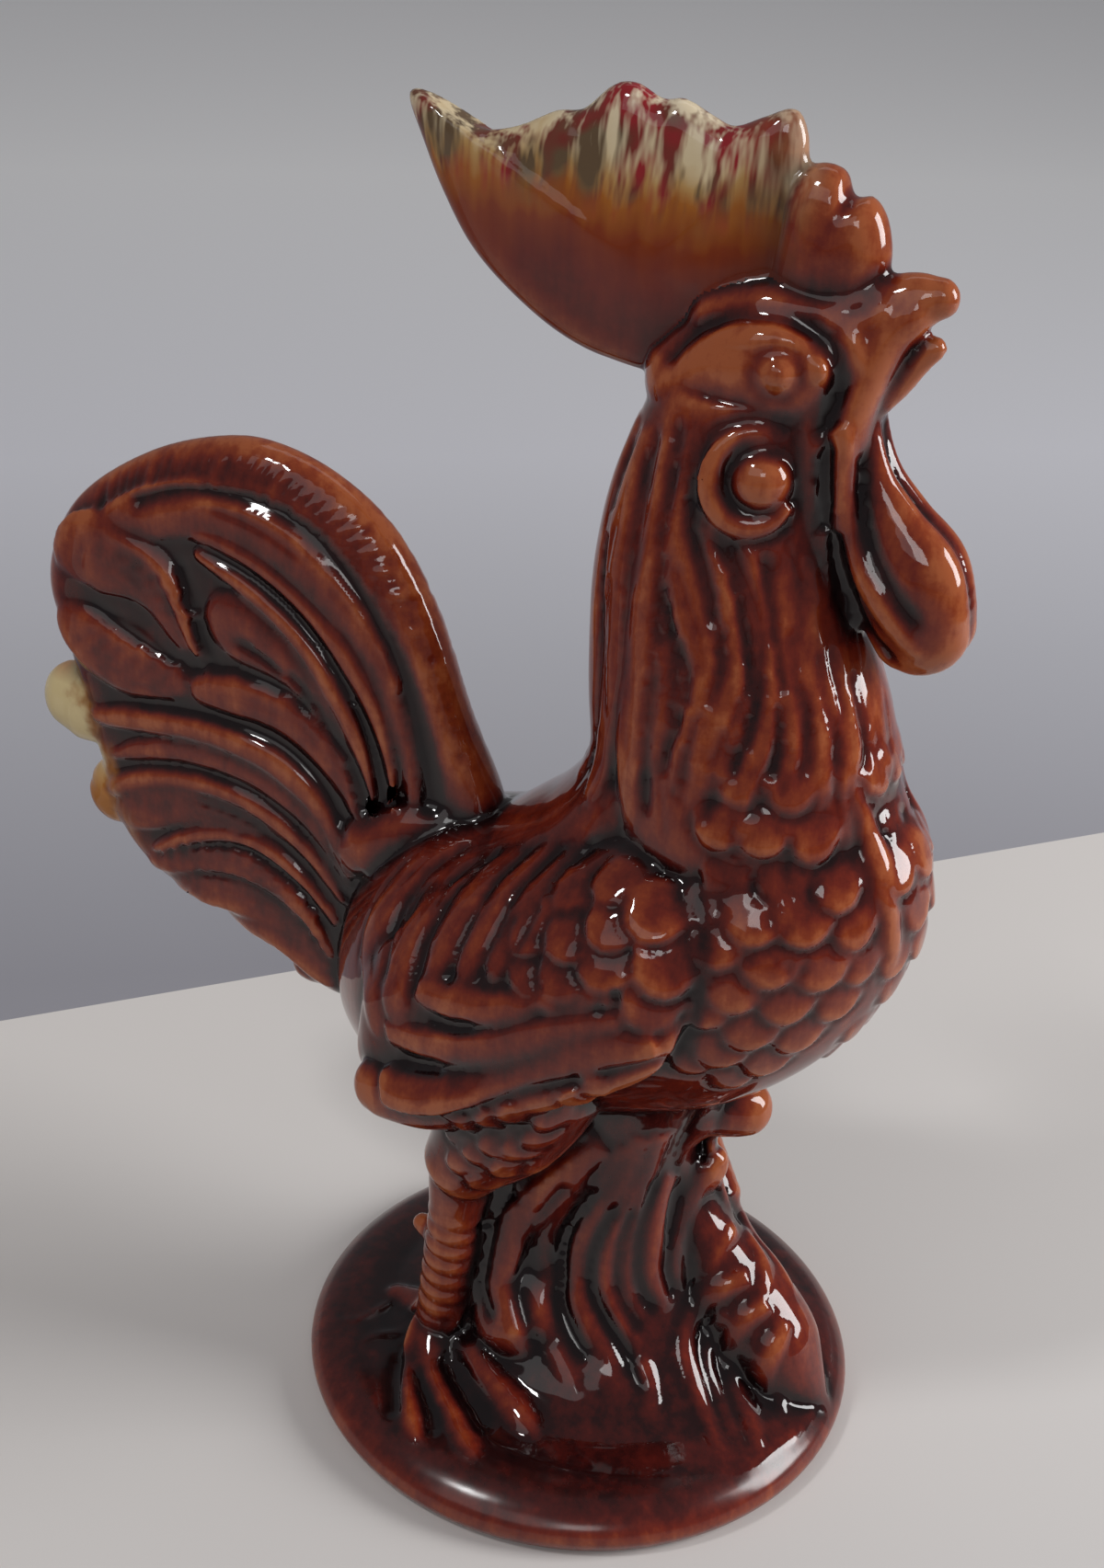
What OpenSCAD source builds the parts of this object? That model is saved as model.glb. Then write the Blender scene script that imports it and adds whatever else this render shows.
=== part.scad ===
// Standing cockerel figurine: glazed earthenware castings luted together on a round plinth.
// X runs forward to the beak, Y to the bird's left, Z up; the origin is the middle of the underside.

/* [Plinth] */
// Widest diameter of the round plinth
plinth_d = 120; // [112:1:140]
// Height of the plinth's shoulder above the table
plinth_h = 12; // [10:0.5:18]
// Rise of the ground mound above the shoulder, at the middle
mound_rise = 8; // [4:0.5:12]
// Wall of the plinth casting
plinth_wall = 5; // [4:0.5:6]
// Diameter of the firing vents that join the hollows
vent_d = 8; // [5:0.5:10]

/* [Body] */
// Width of the body across the wings' seats
body_w = 72; // [64:1:80]
// Wall of the body and neck castings
body_wall = 5; // [4:0.5:7]
// Radius of one breast feather
breast_feather_r = 6.5; // [5.5:0.25:7.5]
// How far a breast feather stands proud
breast_feather_rise = 1.2; // [0.8:0.1:1.8]

/* [Neck and head] */
// Width of the neck at its foot
neck_w = 56; // [50:1:60]
// Hackle feathers round the neck
hackle_count = 15; // [12:1:20]
// How far a hackle feather stands proud of the neck
hackle_rise = 2.6; // [1.6:0.1:3.4]
// Height of the eyes above the table
eye_z = 240; // [236:1:246]
// Width of the head
head_w = 29; // [27:0.5:32]
// Diameter of an eye
eye_d = 7; // [5:0.5:9]
// Diameter of an ear lobe
lobe_d = 17; // [13:0.5:18]
// Thickness of the comb at its thickest
comb_t = 13; // [10:0.5:16]
// Thickness of one wattle, from the parting plane out
wattle_t = 9; // [7:0.5:10]

/* [Tail and wings] */
// Thickness of the tail fan at its rim
tail_rim_t = 11; // [9:0.5:14]
// Extra thickness of the tail fan at its root
tail_swell = 6; // [3:0.5:9]
// How far a tail feather stands proud of the fan
sickle_rise = 2.4; // [1.6:0.1:3.2]
// Thickness of a wing over the body
wing_t = 5; // [4:0.5:7]
// How far a wing feather stands proud of the wing
quill_rise = 1.8; // [1.2:0.1:2.4]

/* [Legs and grass] */
// Distance from the middle to each leg
leg_y = 23; // [21:0.5:26]
// How far the middle of a hip lies inside the body's widest line
hip_in = 13; // [11:0.5:16]
// Diameter of the shanks
shank_d = 10.4; // [9:0.2:12]
// Diameter of a toe at its root
toe_d = 6.4; // [5.6:0.2:8]
// Width of the grass tuft at its foot
tuft_w = 78; // [70:1:84]
// Grass blades round the tuft
blade_count = 13; // [11:1:16]
// How far a grass blade stands proud of the tuft
blade_rise = 4; // [2.5:0.1:5]

/* [Hidden] */

// Glaze colours
treacle = "#6b2a17";
amber = "#8f4a1e";
dark_glaze = "#4a1c12";
cream = "#c9b98a";

ring_sides = 18;
hollow_sides = 10;
bead_fn = 8;
scale_fn = 6;
seat_gap = 0.2;

// Side view of the body: x, lowest z, highest z, share of the full width
body_stations = [
    [-60, 82, 96, 0.12], [-54, 73, 114, 0.42], [-41, 69, 129, 0.76], [-22, 70, 135.5, 0.94],
    [-4, 74, 144, 1], [13, 79, 154, 1], [29, 85, 161, 0.93], [42, 95, 161, 0.78], [52, 107, 157, 0.56],
    [58.5, 120, 150, 0.32], [61.5, 130, 141, 0.1]];

// Side view of the neck, from the shoulders up: z, back x, front x, share of the full width
neck_stations = [
    [132, 4, 46, 0.8], [148, -3, 53, 0.95], [163, -6, 52, 0.88], [177, -7.5, 48, 0.78],
    [190, -8.5, 42, 0.69], [203, -7, 37.5, 0.62], [216, -4.5, 35, 0.56], [228, -0.5, 33, 0.51]];

// Heights of the neck's foot and of the cape's edge, and where the hackles end below the throat
neck_foot = 132;
cape_edge = 150;
throat_z = 186;

// Outline of the comb from the nape round the points to the brow, as x and height over the eyes
comb_outline = [
    [2, -10], [-10, -9.5], [-22, -5.5], [-33, 1], [-41, 10], [-46.5, 21], [-50, 29], [-47.5, 30.5],
    [-42, 27.5], [-36, 25], [-29, 27.5], [-22, 30], [-16, 32.5], [-9, 36.5], [-4, 34.5], [1, 35],
    [7, 32], [13, 33.5], [18.5, 36], [21, 32.5], [22.5, 28], [26.5, 28.5], [29.5, 26], [30.5, 23],
    [34, 23], [36.5, 18], [35, 9], [30, 1], [18, -4]];

// Outline of the tail fan behind its feathers
tail_outline = [
    [-34, 104], [-44, 84], [-58, 81], [-72, 89], [-90, 96], [-106, 104], [-117, 122], [-126, 146],
    [-130, 161], [-122, 179], [-105, 193], [-80, 200], [-56, 190.5], [-41, 172], [-32, 149], [-26, 130]];

// Tail feathers on each face: half width, then points of the middle line from root to tip
tail_sickles = [
    [7, [[-37, 126], [-43, 150], [-53, 169], [-69, 183], [-90, 188], [-110, 183], [-124, 173]]],
    [7.6, [[-43, 121], [-52, 145], [-64, 160.4], [-79, 168.4], [-92, 168]]],
    [8.5, [[-89.4, 156.7], [-98.4, 165.7], [-111.4, 170.7], [-127.4, 166.7]]],
    [7.5, [[-91.8, 147.8], [-105.8, 151.8], [-117.8, 151.8], [-125.8, 148.8]]],
    [6, [[-46.7, 117.5], [-56.7, 136.5], [-70.7, 147.5], [-85.7, 149.5], [-96.7, 145.5]]],
    [6, [[-49.9, 110.4], [-59.9, 128.4], [-75.9, 137.4], [-95.9, 137.4], [-111.9, 134.4], [-123.9, 132.4]]],
    [6, [[-53.9, 104.4], [-64.9, 120.4], [-80.9, 127.4], [-100.9, 124.4], [-116.9, 115.4]]],
    [6, [[-55.9, 99.3], [-66.9, 111.3], [-80.9, 116.3], [-96.9, 111.3], [-108.9, 102.3]]],
    [6, [[-57.5, 93.8], [-68.5, 103.8], [-81.5, 106.8], [-93.5, 100.8], [-100.5, 95.8]]],
    [6.5, [[-58, 87], [-64, 87], [-72, 84]]]];

// Lower and upper edges of a wing, from its tip to its shoulder, in side view
wing_lower = [[-41, 80], [-24, 79], [-4, 91], [14, 103], [25, 113]];
wing_upper = [[-43, 90], [-38, 112], [-20, 132], [6, 147], [26, 140]];

// Long feathers of a wing: half width, then u along the wing from its tip and v across it, root to tip
wing_quills = [
    [4.4, [[0.95, 0.06], [0.7, 0.08], [0.4, 0.1], [0.02, 0.35]]],
    [4.2, [[0.8, 0.25], [0.55, 0.26], [0.3, 0.3], [0.1, 0.55]]],
    [4.2, [[0.65, 0.4], [0.45, 0.43], [0.25, 0.5]]], [5, [[0.93, 0.45], [0.86, 0.42], [0.76, 0.38]]],
    [5, [[0.93, 0.75], [0.86, 0.7], [0.78, 0.64]]], [5, [[0.8, 0.56], [0.72, 0.53], [0.64, 0.5]]],
    [5, [[0.8, 0.84], [0.73, 0.78], [0.66, 0.72]]]];

// Saddle hackles over the wing: root and tip in side view
saddle_lines = [
    [[4, 146], [-5, 111]], [[-5, 141], [-15, 107]], [[-14.5, 136], [-25, 102]], [[-24, 130], [-34, 97]],
    [[-33, 124], [-41.5, 96]]];

// Rolled edge of a wing from the shoulder to the rear lobe: x, inset from the half width, z and radius
wing_roll = [
    [22, 2, 138, 3.4], [24.5, 1.5, 126, 3.8], [21, 0, 113, 4.4], [7, -2, 103, 5], [-8, -2, 94, 5.6],
    [-22, 0, 86.5, 6.4], [-33.5, 2.5, 84, 6.8]];

// Core of the grass tuft: z, middle x, half length, share of the full width
tuft_stations = [
    [10, 5, 41, 1], [18, 4.1, 34.9, 0.87], [27, 3, 27, 0.64], [42, 4.5, 19, 0.47], [62, 5.5, 14.5, 0.38],
    [80, 9, 15.5, 0.41], [96, 14, 20, 0.49]];

// Stump in the tuft that spreads into the hummock under the left foot, and its two cut branches
tuft_stump = [
    [16, 4, 62, 6.5], [18, 4.5, 50, 7.6], [26, 4.5, 35, 9.4], [35.5, 4.5, 24, 11], [42, 3, 14, 12.6]];
high_branch = [[16, 1, 76, 8], [26, 6, 74.5, 6.8], [29, 7.5, 74, 6.4]];
low_branch = [[15, 4, 46, 6.5], [22, 5, 53, 5], [25, 5.5, 59.5, 3.2]];

// Toes of the right foot on the ground, from the ankle outward in plan
right_ankle = [-23.5, -22];
right_toes = [
    [[-23, -34], [-18, -51]], [[-18, -37], [-11, -53]], [[-12, -34], [0, -50]], [[-10, -28], [6, -41]],
    [[-32, -17], [-42, -14]]];

// Toes of the left foot over the hummock, from the ankle outward in plan
left_ankle = [24, 13];
left_toes = [
    [[29, 8], [31, 2], [28, -6], [26, -12]], [[32, 9], [39, 5], [41, -3], [38, -10]],
    [[36, 12], [45, 7], [49, 1], [48.5, -7]], [[17, 21.4], [13, 28.6], [9, 36]]];

// Curves

function lerp(a, b, t) = a + (b - a) * t;

function unit(v) = v / norm(v);

function spline_step(a, b, c, d, t) =
    0.5 * (2 * b + (c - a) * t + (2 * a - 5 * b + 4 * c - d) * t * t + (3 * b - a - 3 * c + d) * t * t * t);

// Point at u segments along an open smooth curve
function spline_at(pts, u) =
    let (last = len(pts) - 1, i = max(0, min(floor(u), last - 1)))
    spline_step(pts[max(i - 1, 0)], pts[i], pts[i + 1], pts[min(i + 2, last)], u - i);

// Closed smooth curve with the given steps to a segment
function loop(pts, steps) =
    let (n = len(pts))
    [for (i = [0 : n - 1], k = [0 : steps - 1])
        spline_step(pts[(i + n - 1) % n], pts[i], pts[(i + 1) % n], pts[(i + 2) % n], k / steps)];

// Row of a station table at a given first column
function station(table, key) =
    let (n = len(table), i = max(0, min(n - 2, len([for (r = table) if (r[0] <= key) 1]) - 1)))
    spline_at(table, i + max(0, min(1, (key - table[i][0]) / (table[i + 1][0] - table[i][0]))));

function mean(pts, i = 0) = i < len(pts) ? pts[i] / len(pts) + mean(pts, i + 1) : pts[0] * 0;

// Fullness of a feather along its length, from its root to its rounded tip
function leaf(t) = (0.6 + 0.4 * sin(min(90, 140 * t))) * (t > 0.99 ? 0.35 : t > 0.85 ? 0.85 : 1);

// Solids

// Skin over rings of equal length, closed by a fan at each end
module loft(rings) {
    n = len(rings[0]);
    m = len(rings);
    points = [for (r = rings) each r, mean(rings[0]), mean(rings[m - 1])];
    sides = [for (j = [0 : m - 2], i = [0 : n - 1])
        let (a = j * n + i, b = j * n + (i + 1) % n)
        each [[a, a + n, b], [b, a + n, b + n]]];
    ends = [for (i = [0 : n - 1])
        each [[m * n, i, (i + 1) % n], [m * n + 1, (m - 1) * n + (i + 1) % n, (m - 1) * n + i]]];
    polyhedron(points, concat(sides, ends), convexity = 6);
}

// Feather with a raised shaft: rows of point, outward normal, half width and half thickness
module feather(rows) {
    last = len(rows) - 1;
    loft([for (k = [0 : last])
        let (r = rows[k], along = unit(rows[min(k + 1, last)][0] - rows[max(k - 1, 0)][0]),
            across = unit(cross(r[1], along)), out = cross(along, across))
        [r[0] + across * r[2], r[0] + out * r[3], r[0] - across * r[2], r[0] - out * r[3]]]);
}

// Chain of balls, each [x, y, z, radius]
module chain(beads, sides = bead_fn) {
    for (i = [0 : len(beads) - 2])
        hull()
            for (b = [beads[i], beads[i + 1]])
                translate([b[0], b[1], b[2]])
                    sphere(b[3], $fn = sides);
}

// Cushioned plate: an outline in x and z that thickens from rim_t at its edge towards a pole
module cushion(outline, pole, rim_t, swell) {
    layers = [[1, 0.5, 0], [0.95, 0.95, 0.1], [0.4, 1, 1]];
    half = [for (l = layers) [l[0], (rim_t * l[1] + swell * l[2]) / 2]];
    stack = concat([for (k = [len(half) - 1 : -1 : 0]) [half[k][0], -half[k][1]]], half);
    loft([for (s = stack) [for (p = outline)
        let (q = pole + (p - pole) * s[0])
        [q[0], s[1], q[1]]]]);
}

// Children as drawn for the bird's right, or mirrored to its left
module on_side(side) {
    mirror([0, side > 0 ? 1 : 0, 0])
        children();
}

// Plinth

plinth_r = plinth_d / 2;
shoulder_r = plinth_r - 15;
foot_r = plinth_r - 3;
foot_h = 4;
vent_x = -24;
tuft_x = 8;

// Height of the ground at a distance from the middle
function ground(r) =
    r < shoulder_r ? plinth_h + mound_rise * (1 + cos(180 * r / shoulder_r)) / 2
    : foot_h + (plinth_h - foot_h) * sqrt(max(0, 1 - pow((r - shoulder_r) / (plinth_r - shoulder_r), 2)));

module plinth_form(sides) {
    mound = [for (k = [0 : 2]) [shoulder_r * k / 3, ground(shoulder_r * k / 3)]];
    rim = [for (a = [90 : -22.5 : 0])
        [shoulder_r + (plinth_r - shoulder_r) * cos(a), foot_h + (plinth_h - foot_h) * sin(a)]];
    rotate_extrude($fn = sides)
        polygon(concat([[0, 0]], mound, rim, [[foot_r, 0]]));
}

// Hollow under the ground, one wall in from the outside
module plinth_hollow() {
    roof = [for (k = [0 : 4]) [shoulder_r * k / 4, ground(shoulder_r * k / 4) - plinth_wall]];
    rotate_extrude($fn = 24)
        polygon(concat([[0, plinth_wall]], roof, [[foot_r - plinth_wall, plinth_wall]]));
}

// The plinth as a cutter, its facets standing just outside the round
module plinth_seat() {
    sides = 24;
    scale([1 / cos(180 / sides), 1 / cos(180 / sides), 1])
        plinth_form(sides);
}

module plinth() {
    color(dark_glaze)
        difference() {
            plinth_form(44);
            plinth_hollow();
            translate([vent_x, 0, -1])
                cylinder(h = plinth_wall + 2, d = vent_d, $fn = 16);
            translate([tuft_x, 0, ground(tuft_x) - plinth_wall - 1])
                cylinder(h = plinth_wall + 2, d = vent_d, $fn = 16);
        }
}

// Body

// Middle height, half height and half width of the body at x
function body_at(x) =
    let (s = station(body_stations, x))
    [(s[1] + s[2]) / 2, (s[2] - s[1]) / 2, s[3] * body_w / 2];

// Point on the body's right flank, seen at x and z from the side, and the direction out of it
function flank(x, z) =
    let (b = body_at(x), k = max(-0.96, min(0.96, (z - b[0]) / b[1])), y = -b[2] * sqrt(1 - k * k))
    [[x, y, b[0] + k * b[1]], unit([0, y / (b[2] * b[2]), k / b[1]])];

function body_ring(x, inset, sides) =
    let (b = body_at(x))
    [for (i = [0 : sides - 1])
        let (a = 360 * i / sides)
        [x, (b[2] - inset) * cos(a), b[0] + (b[1] - inset) * sin(a)]];

// Two balls make one feather, wider at its tip
module breast_feather(x, z) {
    r = breast_feather_r;
    root = flank(x - 2, z + r);
    tip = flank(x, z);
    chain([[each root[0] + root[1] * (breast_feather_rise - r), r * 0.8],
        [each tip[0] + tip[1] * (breast_feather_rise - r), r]], scale_fn);
}

module body_form() {
    loft([for (i = [0, 0.6, 1.2, 2.2, 3.2, 4.2, 5.2, 6.2, 7.2, 8.2, 9.2, 10])
        body_ring(spline_at(body_stations, i)[0], 0, ring_sides)]);
    for (side = [-1, 1])
        on_side(side)
            for (row = [0 : 3], k = [0 : 2])
                breast_feather(lerp(33, 51, k / 2) - (row % 2) * 4,
                    lerp(100, 115, k / 2) + row * lerp(12.5, 9, k / 2));
}

// Hollow of the body, one wall in
module body_hollow() {
    loft([for (x = [-46 : 16 : 50]) body_ring(x, body_wall, hollow_sides)]);
}

module body() {
    color(treacle)
        difference() {
            body_form();
            body_hollow();
            translate([tuft_x, 0, 60])
                cylinder(h = 40, d = vent_d, $fn = 16);
            translate([neck_vent_x, 0, neck_foot])
                cylinder(h = 40, d = vent_d, $fn = 16);
        }
}

// Neck and head

neck_vent_x = 24;

// Middle x, half length and half width of the neck at a height
function neck_at(z) =
    let (s = station(neck_stations, z))
    [(s[1] + s[2]) / 2, (s[2] - s[1]) / 2, s[3] * neck_w / 2];

// Ring of points inside the neck
function neck_ring(z, inset) =
    let (n = neck_at(z))
    [for (k = [0 : hollow_sides - 1])
        let (a = 360 * k / hollow_sides)
        [n[0] + (n[1] - inset) * cos(a), (n[2] - inset) * sin(a), z]];

// Rise of a hackle over the neck: full at the cape's edge, lost in the skin under the face
function hackle_over(z, bearing, k) =
    let (front = (1 + cos(bearing)) / 2, top = lerp(eye_z - 20, throat_z, front * front),
        edge = cape_edge + 4 * (k % 2))
    z < edge ? 0 : hackle_rise * max(0, min(1, (top - z) / 20));

// Ring of crests and furrows round the neck, drifting forward as it comes down
function hackle_ring(z) =
    let (n = neck_at(z), count = 2 * hackle_count)
    [for (i = [0 : count - 1])
        let (a = 360 * i / count + 8 * sin((z - cape_edge) * 2.6),
            over = i % 2 == 0 ? hackle_over(z, a, i / 2) : 0)
        [n[0] + (n[1] + over) * cos(a), (n[2] + over) * sin(a), z]];

module neck_form() {
    loft([for (h = [neck_foot - cape_edge, -1, 1, 5, 13, 24, 36, 49, 63, 77])
        hackle_ring(cape_edge + h)]);
    chain([[29, 0, eye_z - 12, 9.5], [31.5, 0, eye_z - 29, 9.4], [38, 0, eye_z - 45, 5.5]]);
}

module neck() {
    color(amber)
        difference() {
            neck_form();
            body_form();
            loft([for (z = [172 : 15 : 217]) neck_ring(z, body_wall)]);
            translate([neck_vent_x, 0, neck_foot])
                cylinder(h = 48, d = vent_d, $fn = 16);
            lobe_seat(-1);
            lobe_seat(1);
        }
}

// Skull, with a brow over each eye and the band that runs from the beak down each jaw
module head_form() {
    chain([[9, 0, eye_z - 10, head_w * 0.4], [17, 0, eye_z - 5.5, head_w * 0.46],
        [25, 0, eye_z - 3, head_w * 0.46], [32, 0, eye_z - 0.5, head_w * 0.33]]);
    for (side = [-1, 1])
        on_side(side) {
            chain([[12.5, -head_w * 0.32, eye_z + 3, 2.6], [21, -head_w * 0.36, eye_z + 6, 2.6],
                [30.5, -head_w * 0.28, eye_z + 5, 2.6]], scale_fn);
            chain([[41, -2.8, eye_z + 9, 3], [37.8, -5, eye_z + 1, 3.8], [35.5, -5.6, eye_z - 11, 3.8]],
                scale_fn);
        }
}

eye_x = 26.5;

module eye_ball(side, gap) {
    on_side(side)
        translate([eye_x, -head_w * 0.39, eye_z])
            sphere(d = eye_d + 2 * gap, $fn = 10);
}

module head() {
    color(treacle)
        difference() {
            head_form();
            neck_form();
            eye_ball(-1, seat_gap);
            eye_ball(1, seat_gap);
            lobe_seat(-1);
            lobe_seat(1);
        }
}

module right_eye() {
    color(dark_glaze)
        eye_ball(-1, 0);
}

module left_eye() {
    color(dark_glaze)
        eye_ball(1, 0);
}

lobe_x = 25;
lobe_sink = 2.4;

// Flat seat of an ear lobe, sunk in the neck and square to its skin
module lobe_place(side) {
    lobe_z = eye_z - 18.5;
    n = neck_at(lobe_z);
    k = (lobe_x - n[0]) / n[1];
    y = n[2] * sqrt(1 - k * k);
    on_side(side)
        translate([lobe_x, -y, lobe_z])
            rotate([0, 0, atan2(k / n[1], y / (n[2] * n[2]))])
                rotate([90, 0, 0])
                    translate([0, 0, -lobe_sink])
                        children();
}

module lobe_seat(side) {
    lobe_place(side)
        cylinder(h = 20, d = lobe_d + 2 * seat_gap, $fn = 20);
}

module ear_lobe(side) {
    r = lobe_d / 2;
    lobe_place(side)
        rotate_extrude($fn = 20)
            polygon([[0, 0], [r, 0], [r, 3], [r - 1, 4.2], [r - 2.2, 4.2], [r - 3, 3.4], [r * 0.45, 5.2],
                [0, 5.2]]);
}

module right_ear_lobe() {
    color(amber)
        ear_lobe(-1);
}

module left_ear_lobe() {
    color(amber)
        ear_lobe(1);
}

module upper_beak_form() {
    chain([[30, 0, eye_z - 2, 9], [37, 0, eye_z + 5, 7], [43.4, 0, eye_z + 9.1, 5.1],
        [47.8, 0, eye_z + 11.2, 3.2]]);
}

module upper_beak() {
    color(amber)
        difference() {
            upper_beak_form();
            head_form();
            neck_form();
        }
}

module lower_beak_form() {
    chain([[34, 0, eye_z - 10.5, 6.4], [38.8, 0, eye_z - 8.8, 4.4], [42.3, 0, eye_z - 5.2, 2.8],
        [45.8, 0, eye_z - 1.2, 2.2], [48.4, 0, eye_z + 1.8, 1.6]]);
}

module lower_beak() {
    color(amber)
        difference() {
            lower_beak_form();
            head_form();
            neck_form();
            upper_beak_form();
        }
}

module comb() {
    color(cream)
        difference() {
            translate([0, 0, eye_z])
                cushion(loop(comb_outline, 2), [2, 6], comb_t * 0.55, comb_t * 0.45);
            head_form();
            neck_form();
            upper_beak_form();
        }
}

// One wattle, flattened and cut off at the parting plane between the two
module wattle_form() {
    r = 10.8;
    flat = 0.62;
    y = r - wattle_t / flat;
    difference() {
        scale([1, flat, 1])
            chain([[38.3, y, eye_z - 4, 3.6], [38.9, y, eye_z - 12, 4.4], [41, y, eye_z - 22.5, 6.4],
                [45, y, eye_z - 31.5, 9.2], [49.6, y, eye_z - 39.5, r], [52, y, eye_z - 46, 10]], 10);
        translate([0, -seat_gap / 2, eye_z - 80])
            cube(100);
    }
}

module wattle(side) {
    color(treacle)
        difference() {
            on_side(side)
                wattle_form();
            head_form();
            neck_form();
            lower_beak_form();
            upper_beak_form();
        }
}

module right_wattle() {
    wattle(-1);
}

module left_wattle() {
    wattle(1);
}

// Tail

tail_pole = [-52, 118];

module tail_fan_form() {
    cushion(loop(tail_outline, 2), tail_pole, tail_rim_t, tail_swell);
    scale([1, tail_rim_t / 15, 1])
        chain([[-116, 0, 131, 7], [-124.5, 0, 132, 8], [-127, 0, 132.6, 7.4]]);
    chain([[-58, 0, 85, 5.5], [-68.5, 0, 83.6, 5.2]]);
}

module tail_fan() {
    color(treacle)
        difference() {
            tail_fan_form();
            body_form();
        }
}

// One sickle on the fan's right face, thick enough to bed on the fan along its whole length
module sickle(w, pts) {
    steps = max(3, len(pts) - 2);
    feather([for (k = [0 : steps])
        let (t = k / steps, p = spline_at(pts, t * (len(pts) - 1)),
            swell = tail_swell / 2 * max(0, min(1, 1.6 - norm(p - tail_pole) / 46)))
        [[p[0], -tail_rim_t / 2 - swell, p[1]], [0, -1, 0], w * leaf(t),
            sickle_rise * (0.75 + 0.25 * leaf(t))]]);
}

module tail_feathers(side) {
    color(amber)
        difference() {
            on_side(side)
                for (s = tail_sickles)
                    sickle(s[0], s[1]);
            tail_fan_form();
            body_form();
            wing_form(side);
        }
}

module right_tail_feathers() {
    tail_feathers(-1);
}

module left_tail_feathers() {
    tail_feathers(1);
}

// Wings

// Point in side view at u along a wing from its tip and v across it
function wing_place(u, v) = lerp(spline_at(wing_lower, 4 * u), spline_at(wing_upper, 4 * u), v);

function wing_rise(u, v) =
    wing_t * pow(max(0.05, sin(180 * v)), 0.4) * pow(max(0.02, min(1, 0.3 + 4 * u, 5 * (1 - u))), 0.5);

// Point over the wing's seat, which hangs flatter than the belly under it
function wing_skin(p, over) =
    let (b = body_at(p[0]), k = max(-0.96, min(0.96, (p[1] - b[0]) / b[1])), hang = k < 0 ? 0.5 * k : k)
    [p[0], -b[2] * sqrt(1 - hang * hang), p[1]] + unit([0, -1, k < 0 ? 0 : k * 1.3]) * over;

function wing_point(u, v, over) = wing_skin(wing_place(u, v), over);

module wing_plate() {
    loft([for (u = [0 : 1 / 6 : 1])
        concat([for (v = [1 : -0.2 : 0]) wing_point(u, v, wing_rise(u, v))],
            [for (v = [0, 0.5, 1]) wing_point(u, v, -9)])]);
}

// Row of a feather lying over the wing at a place in side view
function quill_row(p, over, w) =
    let (b = wing_skin(p, 0), out = wing_skin(p, 1) - b)
    [b + out * over, out, w, quill_rise];

module wing_form(side) {
    on_side(side) {
        wing_plate();
        chain([for (w = wing_roll) [w[0], w[1] - body_w / 2, w[2], w[3]]], scale_fn);
        for (q = wing_quills)
            feather([for (t = len(q[1]) > 3 ? [0, 0.4, 0.8, 1] : [0, 0.6, 1])
                let (s = spline_at(q[1], t * (len(q[1]) - 1)))
                quill_row(wing_place(s[0], s[1]), wing_rise(s[0], s[1]), q[0] * leaf(t))]);
        for (s = saddle_lines)
            feather([for (t = [0, 0.6, 1])
                quill_row(lerp(s[0], s[1], t) + [2 * sin(180 * t), 0], wing_t * min(1, 0.2 + 2 * t),
                    3.8 * leaf(t))]);
    }
}

module wing(side) {
    color(treacle)
        difference() {
            wing_form(side);
            body_form();
            neck_form();
            tail_fan_form();
        }
}

module right_wing() {
    wing(-1);
}

module left_wing() {
    wing(1);
}

// Legs and feet

// Thigh in the body and a shank of ringed scales down to the ankle
module leg_form(hip, hock, ankle) {
    r = shank_d / 2;
    chain([[each hip, 17], [each lerp(hip, hock, 0.5), 14], [each hock, r + 2]], 10);
    chain([for (k = [0 : 3]) [each lerp(hock, ankle, k / 3), r * (k % 2 == 0 ? 1.05 : 0.94)]]);
    spur = lerp(hock, ankle, 0.45);
    chain([[each spur, 3.2], [each spur + [-9, 1, 1], 1.6]], scale_fn);
}

module right_leg_form() {
    leg_form([-6, hip_in - body_w / 2, 92], [-20, -leg_y - 1, 63],
        [each right_ankle, ground(norm(right_ankle)) + 5]);
}

module left_leg_form() {
    leg_form([4, body_w / 2 - hip_in, 92], [8, leg_y + 1, 63], perch(left_ankle) + [0, 0, 5]);
}

module right_leg() {
    color(treacle)
        difference() {
            right_leg_form();
            body_form();
            wing_form(-1);
            right_foot_form();
        }
}

module left_leg() {
    color(treacle)
        difference() {
            left_leg_form();
            body_form();
            wing_form(1);
            left_foot_form();
        }
}

// Toes run from a hub at the ankle to their claws
module foot_form(hub, toes) {
    r = toe_d / 2;
    chain([[each hub, shank_d / 2 + 0.6], [each hub + [0, 0, 4], shank_d / 2]]);
    for (t = toes)
        chain([[each hub, r * 1.2],
            for (k = [0 : len(t) - 1]) [each t[k], r * (1 - 0.35 * k / (len(t) - 1))]], scale_fn);
}

// The ground under a place in plan, with a toe's middle a little above it
function on_ground(p) = [p[0], p[1], ground(norm(p)) + toe_d * 0.16];

// The same on the tuft, whose stump and foot are round at every height
function perch(p) =
    let (stump = [for (i = [0 : len(tuft_stump) - 2], t = [0 : 0.25 : 1])
            let (b = lerp(tuft_stump[i], tuft_stump[i + 1], t), d = norm(p - [b[0], b[1]]))
            if (d < b[3]) b[2] + sqrt(b[3] * b[3] - d * d) * 0.96],
        foot = [for (z = [10 : 45])
            let (s = station(tuft_stations, z))
            if (norm([(p[0] - s[1]) / s[2], p[1] / (s[3] * tuft_w / 2)]) < 1) z])
    [p[0], p[1], max(concat(stump, foot, [ground(norm(p))])) + toe_d * 0.16];

module right_foot_form() {
    foot_form(on_ground(right_ankle), [for (t = right_toes) [for (p = t) on_ground(p)]]);
}

module left_foot_form() {
    foot_form(perch(left_ankle), [for (t = left_toes) [for (p = t) perch(p)]]);
}

module right_foot() {
    color(amber)
        difference() {
            right_foot_form();
            plinth_seat();
        }
}

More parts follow.
